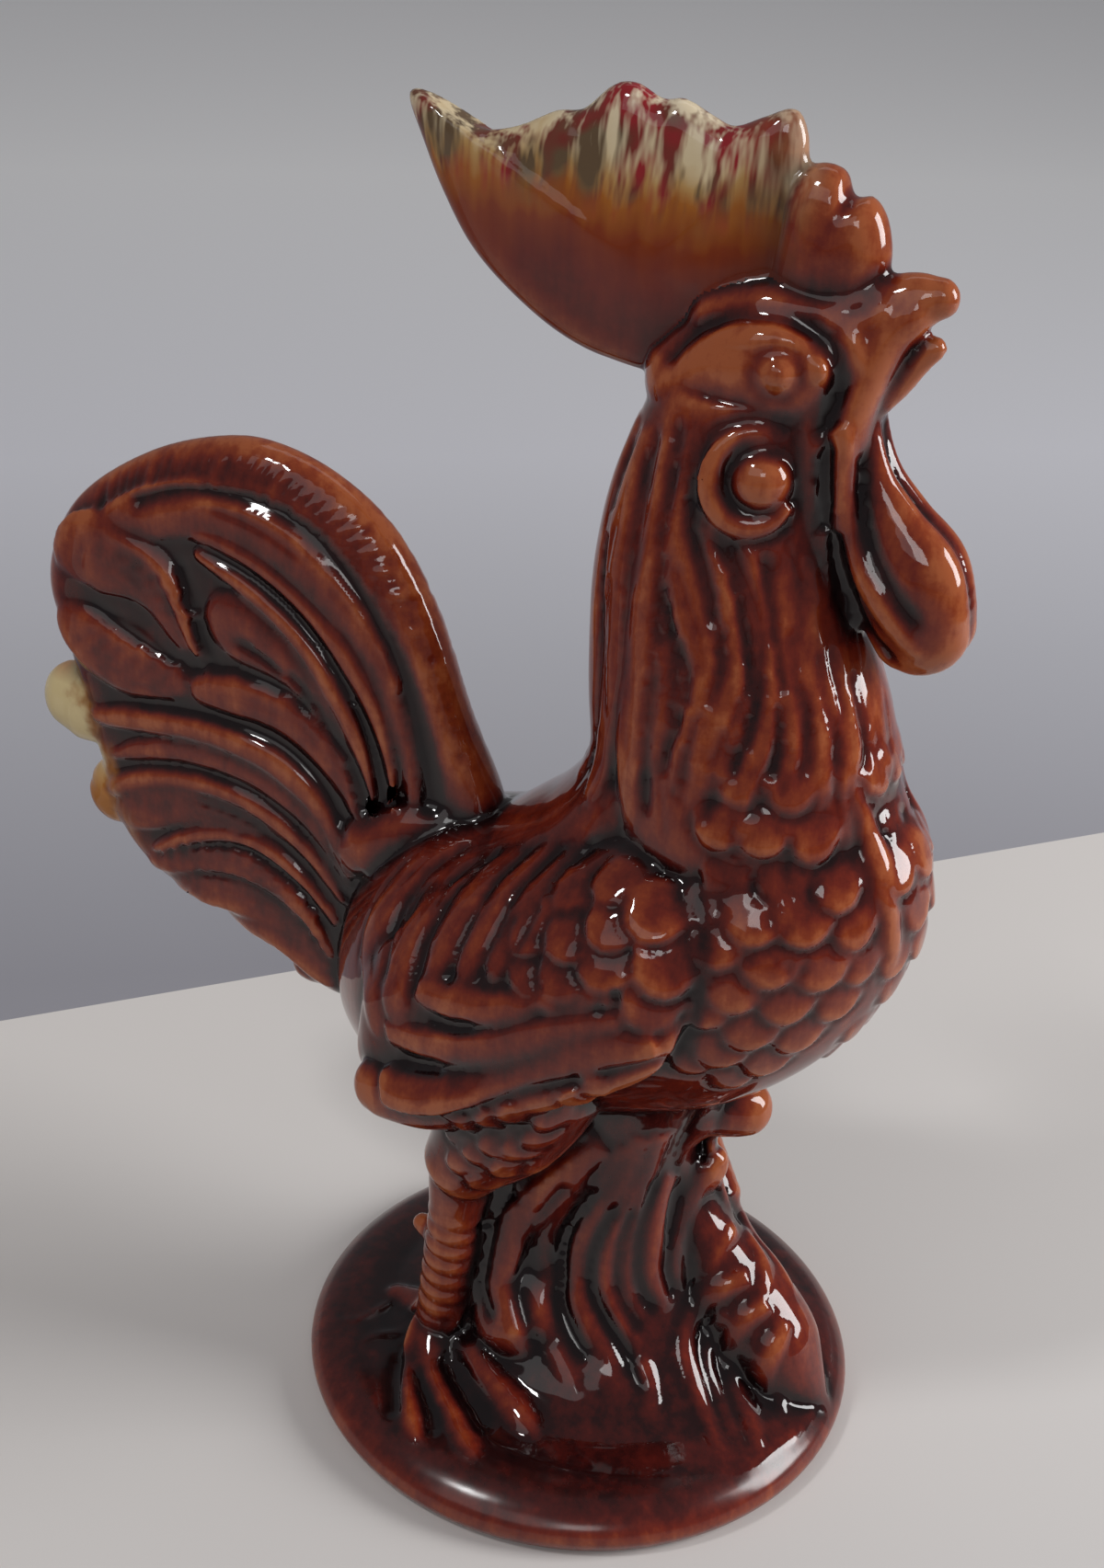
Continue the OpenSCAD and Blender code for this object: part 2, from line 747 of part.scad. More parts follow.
module left_foot() {
    color(amber)
        difference() {
            left_foot_form();
            tuft_form();
            plinth_seat();
        }
}

// Grass tuft

function tuft_ring(s, inset) =
    [for (k = [0 : hollow_sides - 1])
        let (a = 360 * k / hollow_sides)
        [s[1] + (s[2] - inset) * cos(a), (s[3] * tuft_w / 2 - inset) * sin(a), s[0]]];

// Ring of blades and furrows round the tuft, twisting and spreading as they come down
function blade_ring(z) =
    let (s = station(tuft_stations, z), count = 2 * blade_count,
        spread = blade_rise * (1 + pow(max(0, 30 - z) / 20, 2)))
    [for (i = [0 : count - 1])
        let (a = 360 * i / count + z / 4, crest = i % 2,
            over = spread * crest * (0.7 + 0.3 * cos(2 * a + 3 * z)))
        [s[1] + (s[2] + over) * cos(a), (s[3] * tuft_w / 2 + over) * sin(a), z]];

module tuft_form() {
    loft([for (z = [8, 15, 22, 30, 42, 58, 75, 92]) blade_ring(z)]);
    chain(tuft_stump);
    chain(high_branch);
    chain(low_branch, scale_fn);
}

module grass_tuft() {
    color(dark_glaze)
        difference() {
            tuft_form();
            body_form();
            right_leg_form();
            left_leg_form();
            hull()
                right_foot_form();
            plinth_seat();
            loft([for (z = [24 : 14 : 80]) tuft_ring(station(tuft_stations, z), body_wall)]);
            translate([tuft_x, 0, 10])
                cylinder(h = 90, d = vent_d, $fn = 16);
        }
}

plinth();
grass_tuft();
right_leg();
left_leg();
right_foot();
left_foot();
body();
right_wing();
left_wing();
tail_fan();
right_tail_feathers();
left_tail_feathers();
neck();
head();
right_eye();
left_eye();
right_ear_lobe();
left_ear_lobe();
upper_beak();
lower_beak();
comb();
right_wattle();
left_wattle();
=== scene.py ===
import math

import bpy
import numpy as np
from mathutils import Matrix, Vector
from mathutils.bvhtree import BVHTree
from mathutils.kdtree import KDTree


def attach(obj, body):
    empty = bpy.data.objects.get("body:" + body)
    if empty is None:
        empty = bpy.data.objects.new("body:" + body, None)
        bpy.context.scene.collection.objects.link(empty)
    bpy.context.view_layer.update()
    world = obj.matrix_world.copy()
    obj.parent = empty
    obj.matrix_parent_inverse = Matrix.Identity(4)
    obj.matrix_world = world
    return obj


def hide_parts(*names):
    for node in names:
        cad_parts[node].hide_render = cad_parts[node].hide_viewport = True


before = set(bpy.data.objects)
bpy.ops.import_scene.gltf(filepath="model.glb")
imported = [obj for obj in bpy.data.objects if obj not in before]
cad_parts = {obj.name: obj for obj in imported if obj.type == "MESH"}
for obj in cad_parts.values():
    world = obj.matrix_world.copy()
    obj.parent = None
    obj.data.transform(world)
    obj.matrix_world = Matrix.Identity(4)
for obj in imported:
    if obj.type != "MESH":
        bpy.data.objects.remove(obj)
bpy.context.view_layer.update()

scene = bpy.context.scene
mm = 0.001
rng = np.random.default_rng(7)
flanks = (("right", -1), ("left", 1))

# where the photograph was taken from: millimetres and degrees
view = {
    "place": (125.81, -349.78, 348.16), "azimuth": 22.0, "pitch": 28.645, "roll": 3.847, "lens": 50.0,
    "sensor": 36.0,
}


# small tools


def unit(v):
    v = np.asarray(v, float)
    return v / np.maximum(np.linalg.norm(v, axis=-1, keepdims=True), 1e-9)


def fullTurn(count):
    return np.linspace(0, 2 * math.pi, count, endpoint=False)


def lengthAlong(path):
    return np.concatenate([[0], np.linalg.norm(np.diff(path, axis=0), axis=1).cumsum()])


def spline(points, count, closed=False):
    p = np.asarray(points, float)
    n = len(p)
    u = np.linspace(0, n if closed else n - 1, count, endpoint=not closed)
    i = np.minimum(np.floor(u).astype(int), n - 1 if closed else n - 2)
    t = (u - i)[:, None]
    a, b, c, d = (p[(i + k) % n if closed else np.clip(i + k, 0, n - 1)] for k in (-1, 0, 1, 2))
    return 0.5 * (
        2 * b + (c - a) * t + (2 * a - 5 * b + 4 * c - d) * t * t + (3 * b - a - 3 * c + d) * t ** 3
    )


def stationAt(table, key):
    t = np.asarray(table, float)
    dense = spline(t, 20 * len(t))
    return [np.interp(key, dense[:, 0], dense[:, k]) for k in range(1, t.shape[1])]


# middle, half depth and half width of an oval form
def ovalAt(form, key):
    low, high, share = stationAt(form["stations"], key)
    return (low + high) / 2, (high - low) / 2, share * form["half"]


# a mesh and the values at its points
def newMesh(name, verts, faces=(), edges=(), **values):
    mesh = bpy.data.meshes.new(name)
    mesh.from_pydata(np.asarray(verts).tolist(), edges, faces)
    for key, data in values.items():
        data = np.asarray(data, np.float32)
        kind, field = ("FLOAT", "value") if data.ndim == 1 else ("FLOAT_VECTOR", "vector")
        mesh.attributes.new(key, kind, "POINT").data.foreach_set(field, data.ravel())
    return mesh


def inScene(name, data):
    holder = bpy.data.objects.new(name, data)
    scene.collection.objects.link(holder)
    return holder


# clay: closed forms in millimetres, each with the node that it belongs to
clay = []


def loft(owner, rings):
    rings = np.asarray(rings, float)
    m, n = rings.shape[:2]
    verts = np.vstack([rings.reshape(-1, 3), rings[0].mean(0), rings[-1].mean(0)])
    i = np.arange(n)
    after = (i + 1) % n
    a, b = (np.arange(m - 1)[:, None] * n + k for k in (i, after))
    sides = np.stack([a, b, b + n, a + n], -1).reshape(-1, 4)
    last = (m - 1) * n
    first = np.stack([i * 0 + m * n, after, i], -1)
    final = np.stack([i * 0 + m * n + 1, last + i, last + after], -1)
    clay.append((owner, verts, sides.tolist() + first.tolist() + final.tolist()))


# rounded limb along beads of x, y, z, radius
def limb(owner, beads, count=32, sides=28, flat=1.0):
    d = spline(beads, count)
    path, r = d[:, :3], np.maximum(d[:, 3], 0.3)
    along = unit(np.gradient(path, axis=0))
    side = unit(np.cross(along[0], (0.31, 0.87, 0.38)))
    sideways = []
    for v in along:
        side = unit(side - v * np.dot(side, v))
        sideways.append(side)
    sideways = np.array(sideways)
    up = np.cross(along, sideways)
    cap = np.radians(np.arange(15, 75, 15))
    rows = [(path[0] - along[0] * r[0] * math.cos(a), r[0] * math.sin(a), 0) for a in cap]
    rows += [(path[k], r[k], k) for k in range(count)]
    rows += [(path[-1] + along[-1] * r[-1] * math.cos(a), r[-1] * math.sin(a), count - 1) for a in cap[::-1]]
    angle = fullTurn(sides)[:, None]
    rings = []
    for centre, radius, k in rows:
        offset = (np.cos(angle) * sideways[k] + np.sin(angle) * up[k]) * radius
        offset[:, 1] *= flat
        rings.append(centre + offset)
    loft(owner, rings)


# flat casting with a round edge, from an outline in x and z
def plate(owner, outline, pole, rim, swell, edge, steps=240):
    ring = spline(outline, steps, closed=True)
    pole = np.asarray(pole, float)
    bend = np.sin(np.linspace(0.1, math.pi / 2, 9))
    s = np.concatenate([np.linspace(0.06, 1 - edge, 8), 1 - edge + edge * bend])
    drop = ((s - 1 + edge) / edge).clip(0, 1)
    height = rim / 2 * np.sqrt(np.clip(1 - drop ** 2, 0, 1)) + swell / 2 * np.cos(s * math.pi / 2) ** 2
    rows = [(a, -h) for a, h in zip(s, height)] + [(a, h) for a, h in zip(s[-2::-1], height[-2::-1])]
    rings = []
    for a, h in rows:
        shrunk = pole + (ring - pole) * a
        rings.append(np.column_stack([shrunk[:, 0], np.full(steps, h), shrunk[:, 1]]))
    loft(owner, rings)


# a stack of level ovals
def ovals(owner, at, heights, count):
    angle = fullTurn(count)
    rings = []
    for z in heights:
        mid, deep, wide = at(z)
        rings.append(np.column_stack([mid + deep * np.cos(angle), wide * np.sin(angle), np.full(count, z)]))
    loft(owner, rings)


# beads traced on the right side, for one flank
def onFlank(beads, side):
    return np.array(beads, float) * (1, -side, 1, 1)


# plinth with the mound of ground; its underside as radius and height
plinth = {
    "radius": 60, "height": 12, "mound": 8, "shoulder": 45, "footHeight": 4,
    "under": [(59.3, 2.2), (58.2, 0.7), (57, 0.0), (52, 0.0), (50.5, 0.5), (49, 0.9), (20, 0.9), (1, 0.9)],
}


def makePlinth():
    p = plinth
    angle = fullTurn(180)
    wide, drop = p["radius"] - p["shoulder"], p["height"] - p["footHeight"]
    profile = []
    for r in np.linspace(1, p["shoulder"], 20):
        profile.append((r, p["height"] + p["mound"] * (1 + np.cos(math.pi * (r / p["shoulder"]))) / 2))
    for a in np.linspace(0.08, math.pi / 2, 14):
        profile.append((p["shoulder"] + wide * math.sin(a), p["footHeight"] + drop * math.cos(a)))
    rings = []
    for r, z in profile + p["under"]:
        rings.append(np.column_stack([r * np.cos(angle), r * np.sin(angle), np.full(180, z)]))
    loft("plinth", rings)


# body, an egg of elliptic rings: x, lowest z, highest z, share of the half width
body = {
    "half": 36,
    "stations": [(-60, 82, 96, 0.12), (-54, 73, 114, 0.42), (-41, 69, 129, 0.76), (-22, 70, 135.5, 0.94),
        (-4, 74, 144, 1), (13, 79, 154, 1), (29, 85, 161, 0.93), (42, 95, 161, 0.78), (52, 107, 157, 0.56),
        (58.5, 120, 150, 0.32), (61.5, 130, 141, 0.1)],
    "cape": [(-28, 0, 120, 13), (-19, 0, 122, 14), (-10, 0, 128.5, 14.4), (-2.5, 0, 135.3, 14.4),
        (4.2, 0, 145, 14), (9, 0, 157, 13)],
}


def makeBody():
    angle = fullTurn(96)
    rings = []
    for x in np.linspace(-60, 61.5, 70):
        mid, deep, wide = ovalAt(body, x)
        rings.append(np.column_stack([np.full(96, x), wide * np.cos(angle), mid + deep * np.sin(angle)]))
    loft("body", rings)
    limb("body", body["cape"], sides=48, flat=1.55)


# neck rings: z, back x, front x, share of the half width
neck = {
    "half": 28,
    "stations": [(132, 4, 46, 0.8), (148, -3, 53, 0.95), (163, -6, 52, 0.88), (177, -7.6, 48, 0.78),
        (190, -8.4, 42, 0.69), (203, -7.2, 37.5, 0.62), (216, -4.6, 35, 0.56), (230, 0, 33, 0.5)],
}


def makeNeck():
    ovals("neck", lambda z: ovalAt(neck, z), np.linspace(132, 230, 50), 96)


# head, beak, comb and wattles
head = {
    "skull": [(9, 0, 230, 11.5), (17, 0, 234.5, 13.4), (25, 0, 237, 13.4), (32, 0, 239.5, 9.6)],
    "upperBeak": [(30, 0, 238, 9), (35, 0, 243, 7.4), (40.2, 0, 247.2, 6.0), (44.2, 0, 249.4, 4.9),
        (47, 0, 250.3, 3.7)],
    "lowerBeak": [(34, 0, 229.5, 6.2), (38.4, 0, 232.2, 4.0), (42, 0, 235.4, 3.0), (45.2, 0, 239.4, 2.4),
        (47.6, 0, 242, 2.1)],
    "jaw": [(43, -1.0, 247.4, 4.2), (39.6, -1.6, 243.6, 4.8), (37.4, -2.8, 238, 4.8),
        (35.8, -4.0, 231.5, 4.6), (35.6, -4.6, 225, 4.2)],
    "throat": [(29, 0, 238, 9), (29.5, 0, 226, 10), (31, 0, 214, 9.6), (34, 0, 203, 8), (39, 0, 194, 5.5)],
    "forehead": [(14, 0, 240, 10), (22, 0, 241, 10.5), (30, 0, 243, 8.5), (37, 0, 246.5, 6.6)],
    "chin": [(37, 0, 241, 4), (36, 0, 234, 4.2), (36.4, 0, 226, 4.4), (38.6, 0, 218, 4.6)],
    "comb": [(2, 230), (-10, 230), (-20, 233), (-30, 239), (-38, 246), (-44, 255), (-48, 263), (-51, 270),
        (-48.5, 271), (-43, 268.5), (-37, 266), (-30, 267.5), (-23, 271), (-18, 272), (-13, 276.5),
        (-9, 277.5), (-4, 275.5), (0, 276), (5, 274), (9, 272.8), (14, 275), (19, 277), (21.5, 274),
        (22.5, 269), (24, 262), (28, 252), (26, 244), (16, 240)],
    "frontLobe": [(18, 246), (18.5, 258), (20, 266), (24, 269), (28.5, 268.5), (30.6, 264.5), (34, 264.8),
        (37, 261), (38.3, 254), (36, 247.5), (31, 243.5), (23, 243)],
    "wattle": [(37.2, -2.2, 236, 3.4), (37, -2.3, 228, 3.8), (39.4, -2.4, 218.5, 5.0),
        (43.6, -2.5, 210.2, 7.4), (48.6, -2.5, 202, 10.3), (52.2, -2.4, 193.8, 9.6)],
}


def makeHead():
    h = head
    limb("head", h["skull"], sides=40)
    limb("head", h["forehead"], sides=40)
    limb("head", h["chin"], sides=32, flat=1.2)
    limb("neck", h["throat"], sides=32)
    limb("upper_beak", h["upperBeak"], sides=32, flat=0.86)
    limb("lower_beak", h["lowerBeak"], sides=32, flat=0.9)
    plate("comb", h["comb"], (-2, 249), 7.4, 6.4, edge=0.2)
    plate("comb", h["frontLobe"], (27, 255), 9.8, 3, edge=0.42)
    for word, side in flanks:
        limb("head", onFlank(h["jaw"], side), sides=24)
        limb(word + "_wattle", onFlank(h["wattle"], side), sides=40, flat=0.62)


# tail fan behind the feathers, x and z
tail = {
    "outline": [(-30, 108), (-42, 88), (-55, 79), (-66, 80), (-76, 88), (-90, 93), (-104, 96), (-114, 104),
        (-119, 116), (-123, 132), (-127, 146), (-131.5, 161), (-128, 174), (-120, 184), (-106, 193.5),
        (-92, 199), (-80, 200.5), (-66, 197), (-53, 188.5), (-43, 174), (-34, 152), (-25, 130)],
    "pole": (-66, 132), "rim": 12.6, "swell": 4.6,
    "root": [(-52, 0, 121, 10), (-43, 0, 127, 9.4), (-37.5, 0, 131, 7.5), (-35.5, 0, 135, 5)],
}


def makeTail():
    plate("tail_fan", tail["outline"], tail["pole"], tail["rim"], tail["swell"], edge=0.13)
    limb("tail_fan", tail["root"], sides=40, flat=1.25)


# wings hang flat against the flanks: lower and upper edge from the tip to the shoulder
wing = {
    "thick": 5.0,
    "lower": [(-42, 82), (-26, 78), (-4, 91), (14, 103), (25, 113)],
    "upper": [(-43, 92), (-38, 112), (-20, 132), (6, 147), (26, 140)],
    "edgeRoll": [(22.5, -31, 134, 1.6), (24.5, -33.4, 126, 3.0), (21, -36, 113, 4.4), (7, -38, 103, 5.0),
        (-8, -38, 94, 5.6), (-22, -36, 86.5, 6.4), (-33.5, -33.5, 84, 6.8)],
}


def wingPoint(u, v, over):
    low, high = (spline(wing[edge], 101)[int(round(u * 100))] for edge in ("lower", "upper"))
    x, z = low + (high - low) * v
    mid, deep, wide = ovalAt(body, x)
    k = min(0.96, max(-0.96, (z - mid) / deep))
    hang = 0.5 * k if k < 0 else k
    out = unit((0, -1, 0 if k < 0 else 1.3 * k))
    return np.array((x, -wide * math.sqrt(1 - hang * hang), z)) + out * over


def makeWings():
    rows = []
    for u in np.linspace(0, 1, 41):
        lift = wing["thick"] * math.sqrt(max(0.02, min(1, 0.3 + 4 * u, 5 * (1 - u))))
        row = [wingPoint(u, v, lift * max(0.05, math.sin(math.pi * v)) ** 0.4) for v in np.linspace(1, 0, 25)]
        rows.append(row + [wingPoint(u, v, -9) for v in np.linspace(0, 1, 9)])
    for word, side in flanks:
        loft(word + "_wing", np.array(rows) * (1, -side, 1))
        limb(word + "_wing", onFlank(wing["edgeRoll"], side), count=60, flat=0.8)


# legs, toes, the hollows between them and two roots on the ground
legs = {
    "right": {
        "thigh": [(-6, -23, 94, 17), (-11, -24, 80, 14.5), (-18, -25, 67, 9.5)],
        "hock": (-20, -24, 62), "ankle": (-23.5, -22, 19), "above": 30, "toe": 3.3,
        "toes": [
            [(-26, -22), (-26.3, -30), (-23.4, -37.5), (-18.9, -45.1), (-14.2, -51.6)],
            [(-24, -24), (-21.5, -33), (-15.6, -38.7), (-7.5, -45.1), (-0.5, -51)],
            [(-22, -21), (-14.5, -27.6), (-7.8, -32.5), (0.7, -37), (8.5, -41)],
            [(-25, -20), (-31, -17), (-37, -15), (-42, -14)],
        ],
    },
    "left": {
        "thigh": [(4, 23, 94, 17), (6, 24, 80, 14.5), (8, 24.5, 67, 9.5)],
        "hock": (8, 24, 62), "ankle": (24, 13, 43), "above": 56, "toe": 2.2,
        "toes": [
            [(24, 11), (29, 8), (31, 2), (28, -6), (26, -12)],
            [(26, 11), (32, 9), (39, 5), (41, -3), (38, -10)],
            [(28, 13), (36, 12), (45, 7), (49, 1), (48.5, -7)],
            [(24, 13), (21.5, 16), (19.5, 18.4), (18, 20)],
        ],
    },
    "shank": 5.7,
    "hollows": [
        (1.6, 1.3, [(-24, -33), (-19, -41), (-12, -49)]), (2.0, 1.2, [(-20, -29), (-12, -36), (-2, -44)]),
        (1.6, 1.0, [(-29, -30), (-27, -39), (-22, -48)]),
    ],
    "roots": [
        [(-50, -25.8), (-42.6, -25.3), (-38.2, -16.3), (-35.5, -12.6)],
        [(-39, -30.9), (-36.2, -27.5), (-31.4, -25)],
    ],
    "spur": [((0, 0, 0), 3), ((-5, 1, 0.5), 2.8), ((-8, 1.5, 1), 2.2)],
}


def makeLegs():
    for word, side in flanks:
        leg = legs[word]
        low, hock = np.array(leg["ankle"], float), np.array(leg["hock"], float)
        limb(word + "_leg", leg["thigh"], sides=40)
        shank = []
        for t in np.linspace(-0.12, 1, 8):
            shank.append((*(hock * (1 - t) + low * t), legs["shank"] * (1.25 - 0.25 * min(1, 3 * t))))
        limb(word + "_leg", shank)
        spur = hock * 0.5 + low * 0.5
        limb(word + "_leg", [(*(spur + step), r) for step, r in legs["spur"]], sides=16)
        limb(word + "_foot", [(*low, 5.6), (*(low - (0, 0, 4)), 6.6)], count=8)


# grass tuft: z, middle x, half length, half width; then its stubs and side stems
tuft = {
    "stations": [(6, 3, 55.5, 54.5), (9.5, 3.5, 53, 51.8), (11.4, 4, 49.6, 48.2), (12.6, 4.5, 45, 43.6),
        (15.5, 4.5, 37.8, 36.8), (20, 4, 32, 31), (28, 3.5, 26, 24.5), (42, 4.5, 19.2, 18.3),
        (62, 5.5, 14.6, 15), (80, 9, 15.5, 16), (96, 14, 20, 19)],
    "stubs": [
        [(16, 1, 76, 8), (26, 6, 74.5, 6.8), (29, 7.5, 74, 6.4)],
        [(13, 4, 44, 6.5), (20, 4.5, 52, 5), (24, 5, 58, 4), (24.8, 5, 60, 3.4)],
        [(16, 4, 62, 6.5), (18, 4.5, 50, 7.6), (26, 4.5, 36, 9.4), (35.5, 4.5, 26, 11), (42, 3.5, 18, 11.6),
          (47, 2.4, 12.4, 9.6), (53.2, 1.2, 6.4, 5.4)],
        [(4, -8, 72, 8.5), (-4.6, -11, 58, 9), (-9.6, -12, 46, 9.8), (-10.6, -13, 34, 11.4),
          (-5, -17, 22, 13)],
        [(-13, -16, 64, 4), (-15, -17, 52, 5), (-16, -17, 38, 5.6), (-16.5, -17, 24, 6.4),
          (-16.5, -18, 14, 7.5)],
    ],
}


def makeTuft():
    ovals("grass_tuft", lambda z: stationAt(tuft["stations"], z), np.linspace(6, 96, 46), 72)
    for stub in tuft["stubs"]:
        limb("grass_tuft", stub)


for make in (makePlinth, makeBody, makeNeck, makeHead, makeTail, makeWings, makeLegs, makeTuft):
    make()
print("clay forms:", len(clay))


# node trees


def addNode(tree, kind, inputs=None, **settings):
    node = tree.nodes.new(kind)
    for key, value in settings.items():
        setattr(node, key, value)
    for key, value in (inputs or {}).items():
        if isinstance(value, bpy.types.NodeSocket):
            tree.links.new(value, node.inputs[key])
        else:
            node.inputs[key].default_value = value
    return node


# the output of a new node
def feed(tree, kind, inputs=None, out=0, **settings):
    return addNode(tree, kind, inputs, **settings).outputs[out]


def named(tree, name, kind="FLOAT_VECTOR"):
    return feed(tree, "GeometryNodeInputNamedAttribute", {"Name": name}, data_type=kind)


def startTree(name, **sockets):
    tree = bpy.data.node_groups.new(name, "GeometryNodeTree")
    for label, kind in {"Geometry": "Geometry", **sockets}.items():
        tree.interface.new_socket(label, in_out="INPUT", socket_type="NodeSocket" + kind)
    tree.interface.new_socket("Geometry", in_out="OUTPUT", socket_type="NodeSocketGeometry")
    return tree, addNode(tree, "NodeGroupInput").outputs


def endTree(tree, shape, glaze):
    real = feed(tree, "GeometryNodeRealizeInstances", {0: shape})
    done = feed(tree, "GeometryNodeSetMaterial", {"Geometry": real, "Material": glaze})
    addNode(tree, "NodeGroupOutput", {0: done})
    return tree


# a rolled strand of clay along a path that keeps its flat side on the skin
def strandTree():
    tree, given = startTree("rolledStrand", Sides="Int", Rise="Float", Glaze="Material")
    path = feed(tree, "GeometryNodeMeshToCurve", {0: given["Geometry"]})
    out = named(tree, "out")
    path = feed(tree, "GeometryNodeSetCurveNormal", {"Curve": path, "Normal": out}, mode="FREE")
    size = feed(tree, "ShaderNodeCombineXYZ", {"X": given["Rise"], "Y": 1.0, "Z": 1.0})
    ring = feed(tree, "GeometryNodeCurvePrimitiveCircle", {"Resolution": given["Sides"], "Radius": 1.0})
    lens = feed(tree, "GeometryNodeTransform", {"Geometry": ring, "Scale": size})
    half = named(tree, "half", "FLOAT")
    inputs = {"Curve": path, "Profile Curve": lens, "Scale": half, "Fill Caps": True}
    return endTree(tree, feed(tree, "GeometryNodeCurveToMesh", inputs), given["Glaze"])


# small pressed feathers on points, each turned to the skin and to its own fall
def scaleTree():
    sockets = {"Rise": "Float", "Length": "Float", "Tilt": "Float", "Glaze": "Material"}
    tree, given = startTree("pressedFeathers", **sockets)
    ball = feed(tree, "GeometryNodeMeshUVSphere", {"Segments": 16, "Rings": 10, "Radius": 1.0})
    size = feed(tree, "ShaderNodeCombineXYZ", {"X": 1.0, "Y": given["Length"], "Z": given["Rise"]})
    lean = feed(tree, "ShaderNodeCombineXYZ", {"X": given["Tilt"], "Y": 0.0, "Z": 0.0})
    leaf = feed(tree, "GeometryNodeTransform", {"Geometry": ball, "Scale": size, "Rotation": lean})
    align = "FunctionNodeAlignRotationToVector"
    turn = feed(tree, align, {"Vector": named(tree, "out")}, axis="Z")
    turn = feed(tree, align, {"Rotation": turn, "Vector": named(tree, "fall")}, axis="Y", pivot_axis="Z")
    half = named(tree, "half", "FLOAT")
    inputs = {"Points": given["Geometry"], "Instance": leaf, "Rotation": turn, "Scale": half}
    return endTree(tree, feed(tree, "GeometryNodeInstanceOnPoints", inputs), given["Glaze"])


# what a modifier makes of a mesh
def made(mesh, kind, sockets=None, **settings):
    holder = inScene("holder", mesh)
    modifier = holder.modifiers.new("make", kind)
    for key, value in settings.items():
        setattr(modifier, key, value)
    for item in modifier.node_group.interface.items_tree if sockets else ():
        if item.in_out == "INPUT" and item.name in sockets:
            modifier[item.identifier] = sockets[item.name]
    bpy.context.view_layer.update()
    result = bpy.data.meshes.new_from_object(holder.evaluated_get(bpy.context.evaluated_depsgraph_get()))
    holder.modifiers.clear()
    bpy.data.objects.remove(holder)
    return result


def readMesh(items, field, kind, width):
    data = np.empty(len(items) * width, kind)
    items.foreach_get(field, data)
    return data.reshape(-1, width)


# forms as one set of points and faces, with the owner of each face
def joined(parts):
    verts, faces, owners, base = [], [], [], 0
    for owner, v, f in parts:
        verts.append(v)
        faces += [[i + base for i in face] for face in f]
        owners += [owner] * len(f)
        base += len(v)
    return np.vstack(verts), faces, owners


# all clay under one skin
def fuse(parts, voxel):
    verts, faces, owners = joined(parts)
    result = made(newMesh("fuse", verts, faces), "REMESH", mode="VOXEL", voxel_size=voxel)
    co = readMesh(result.vertices, "co", np.float32, 3).astype(float)
    quads = readMesh(result.loops, "vertex_index", np.int32, 1).reshape(-1, 4)
    return co, quads, readMesh(result.edges, "vertices", np.int32, 2)


def neighbourMean(values, edges, degree):
    n = len(values)
    values = values.reshape(n, -1)
    a, b = edges.T
    columns = [np.bincount(a, v[b], n) + np.bincount(b, v[a], n) for v in values.T]
    return np.stack(columns, -1) / degree[:, None]


def degreeOf(edges, count):
    return np.bincount(edges.ravel(), minlength=count).clip(1)


def soften(co, edges, rounds, rate=0.5, back=0.0):
    degree = degreeOf(edges, len(co))
    for step in range(rounds):
        co = co + rate * (neighbourMean(co, edges, degree) - co)
        if back:
            co = co - back * (neighbourMean(co, edges, degree) - co)
    return co


def vertexNormals(co, quads):
    cross = np.cross(co[quads[:, 2]] - co[quads[:, 0]], co[quads[:, 3]] - co[quads[:, 1]])
    return unit(np.stack([np.bincount(quads.ravel(), np.repeat(c, 4), len(co)) for c in cross.T], -1))


skinCo, skinQuads, skinEdges = fuse(clay, 1.2)
skinCo = soften(skinCo, skinEdges, 6)
skin = BVHTree.FromPolygons(skinCo.tolist(), skinQuads.tolist())
print("skin:", len(skinQuads), "faces")

eyePoint = np.array(view["place"])


# a point on the skin with its normal, or nothing
def found(hit, normal, index, far):
    return None if hit is None else (np.array(hit), np.array(normal))


def strike(start, aim):
    return found(*skin.ray_cast(Vector(start), Vector(aim)))


# where the photograph shows a point of the plane y = planeY
def seen(x, z, planeY):
    return strike(eyePoint, unit(np.array((x, planeY, z)) - eyePoint))


def traced(line, planeY, count=40):
    return [seen(x, z, planeY) for x, z in spline(line, count)]


# where a level ray from a bearing meets the skin round an upright axis
def around(bearing, z, axisX, reach=120):
    d = np.array((math.cos(bearing), math.sin(bearing), 0))
    return strike(np.array((axisX, 0, z)) + d * reach, -d)


def downOn(x, y, start):
    return strike((x, y, start), (0, 0, -1))


# the nearest skin to a point, or nothing when the point hangs in the air
def onSkin(point, reach=2.5):
    return found(*skin.find_nearest(Vector(point), reach))


def raised(hits, above):
    return [None if h is None else (h[0] + h[1] * above, h[1]) for h in hits]


strands = {}   # (owner, rise): list of (points, outs, halves)
scales = {}    # owner: list of (point, out, fall, half)
grooves = []   # (points, widths, depths): lines drawn into the wet clay with a blunt tool
paired = ("wing", "tail_feathers", "leg", "foot", "eye", "ear_lobe", "wattle")


def sided(word, owner):
    return word + "_" + owner if owner in paired else owner


# fullness of a strand along its length
def leafShape(t, root, tip):
    swell = root + (1 - root) * np.sin(np.minimum(1, t * 2.4) * math.pi / 2)
    return swell * np.where(t > 0.72, 1 - (1 - tip) * ((t - 0.72) / 0.28) ** 2, 1)


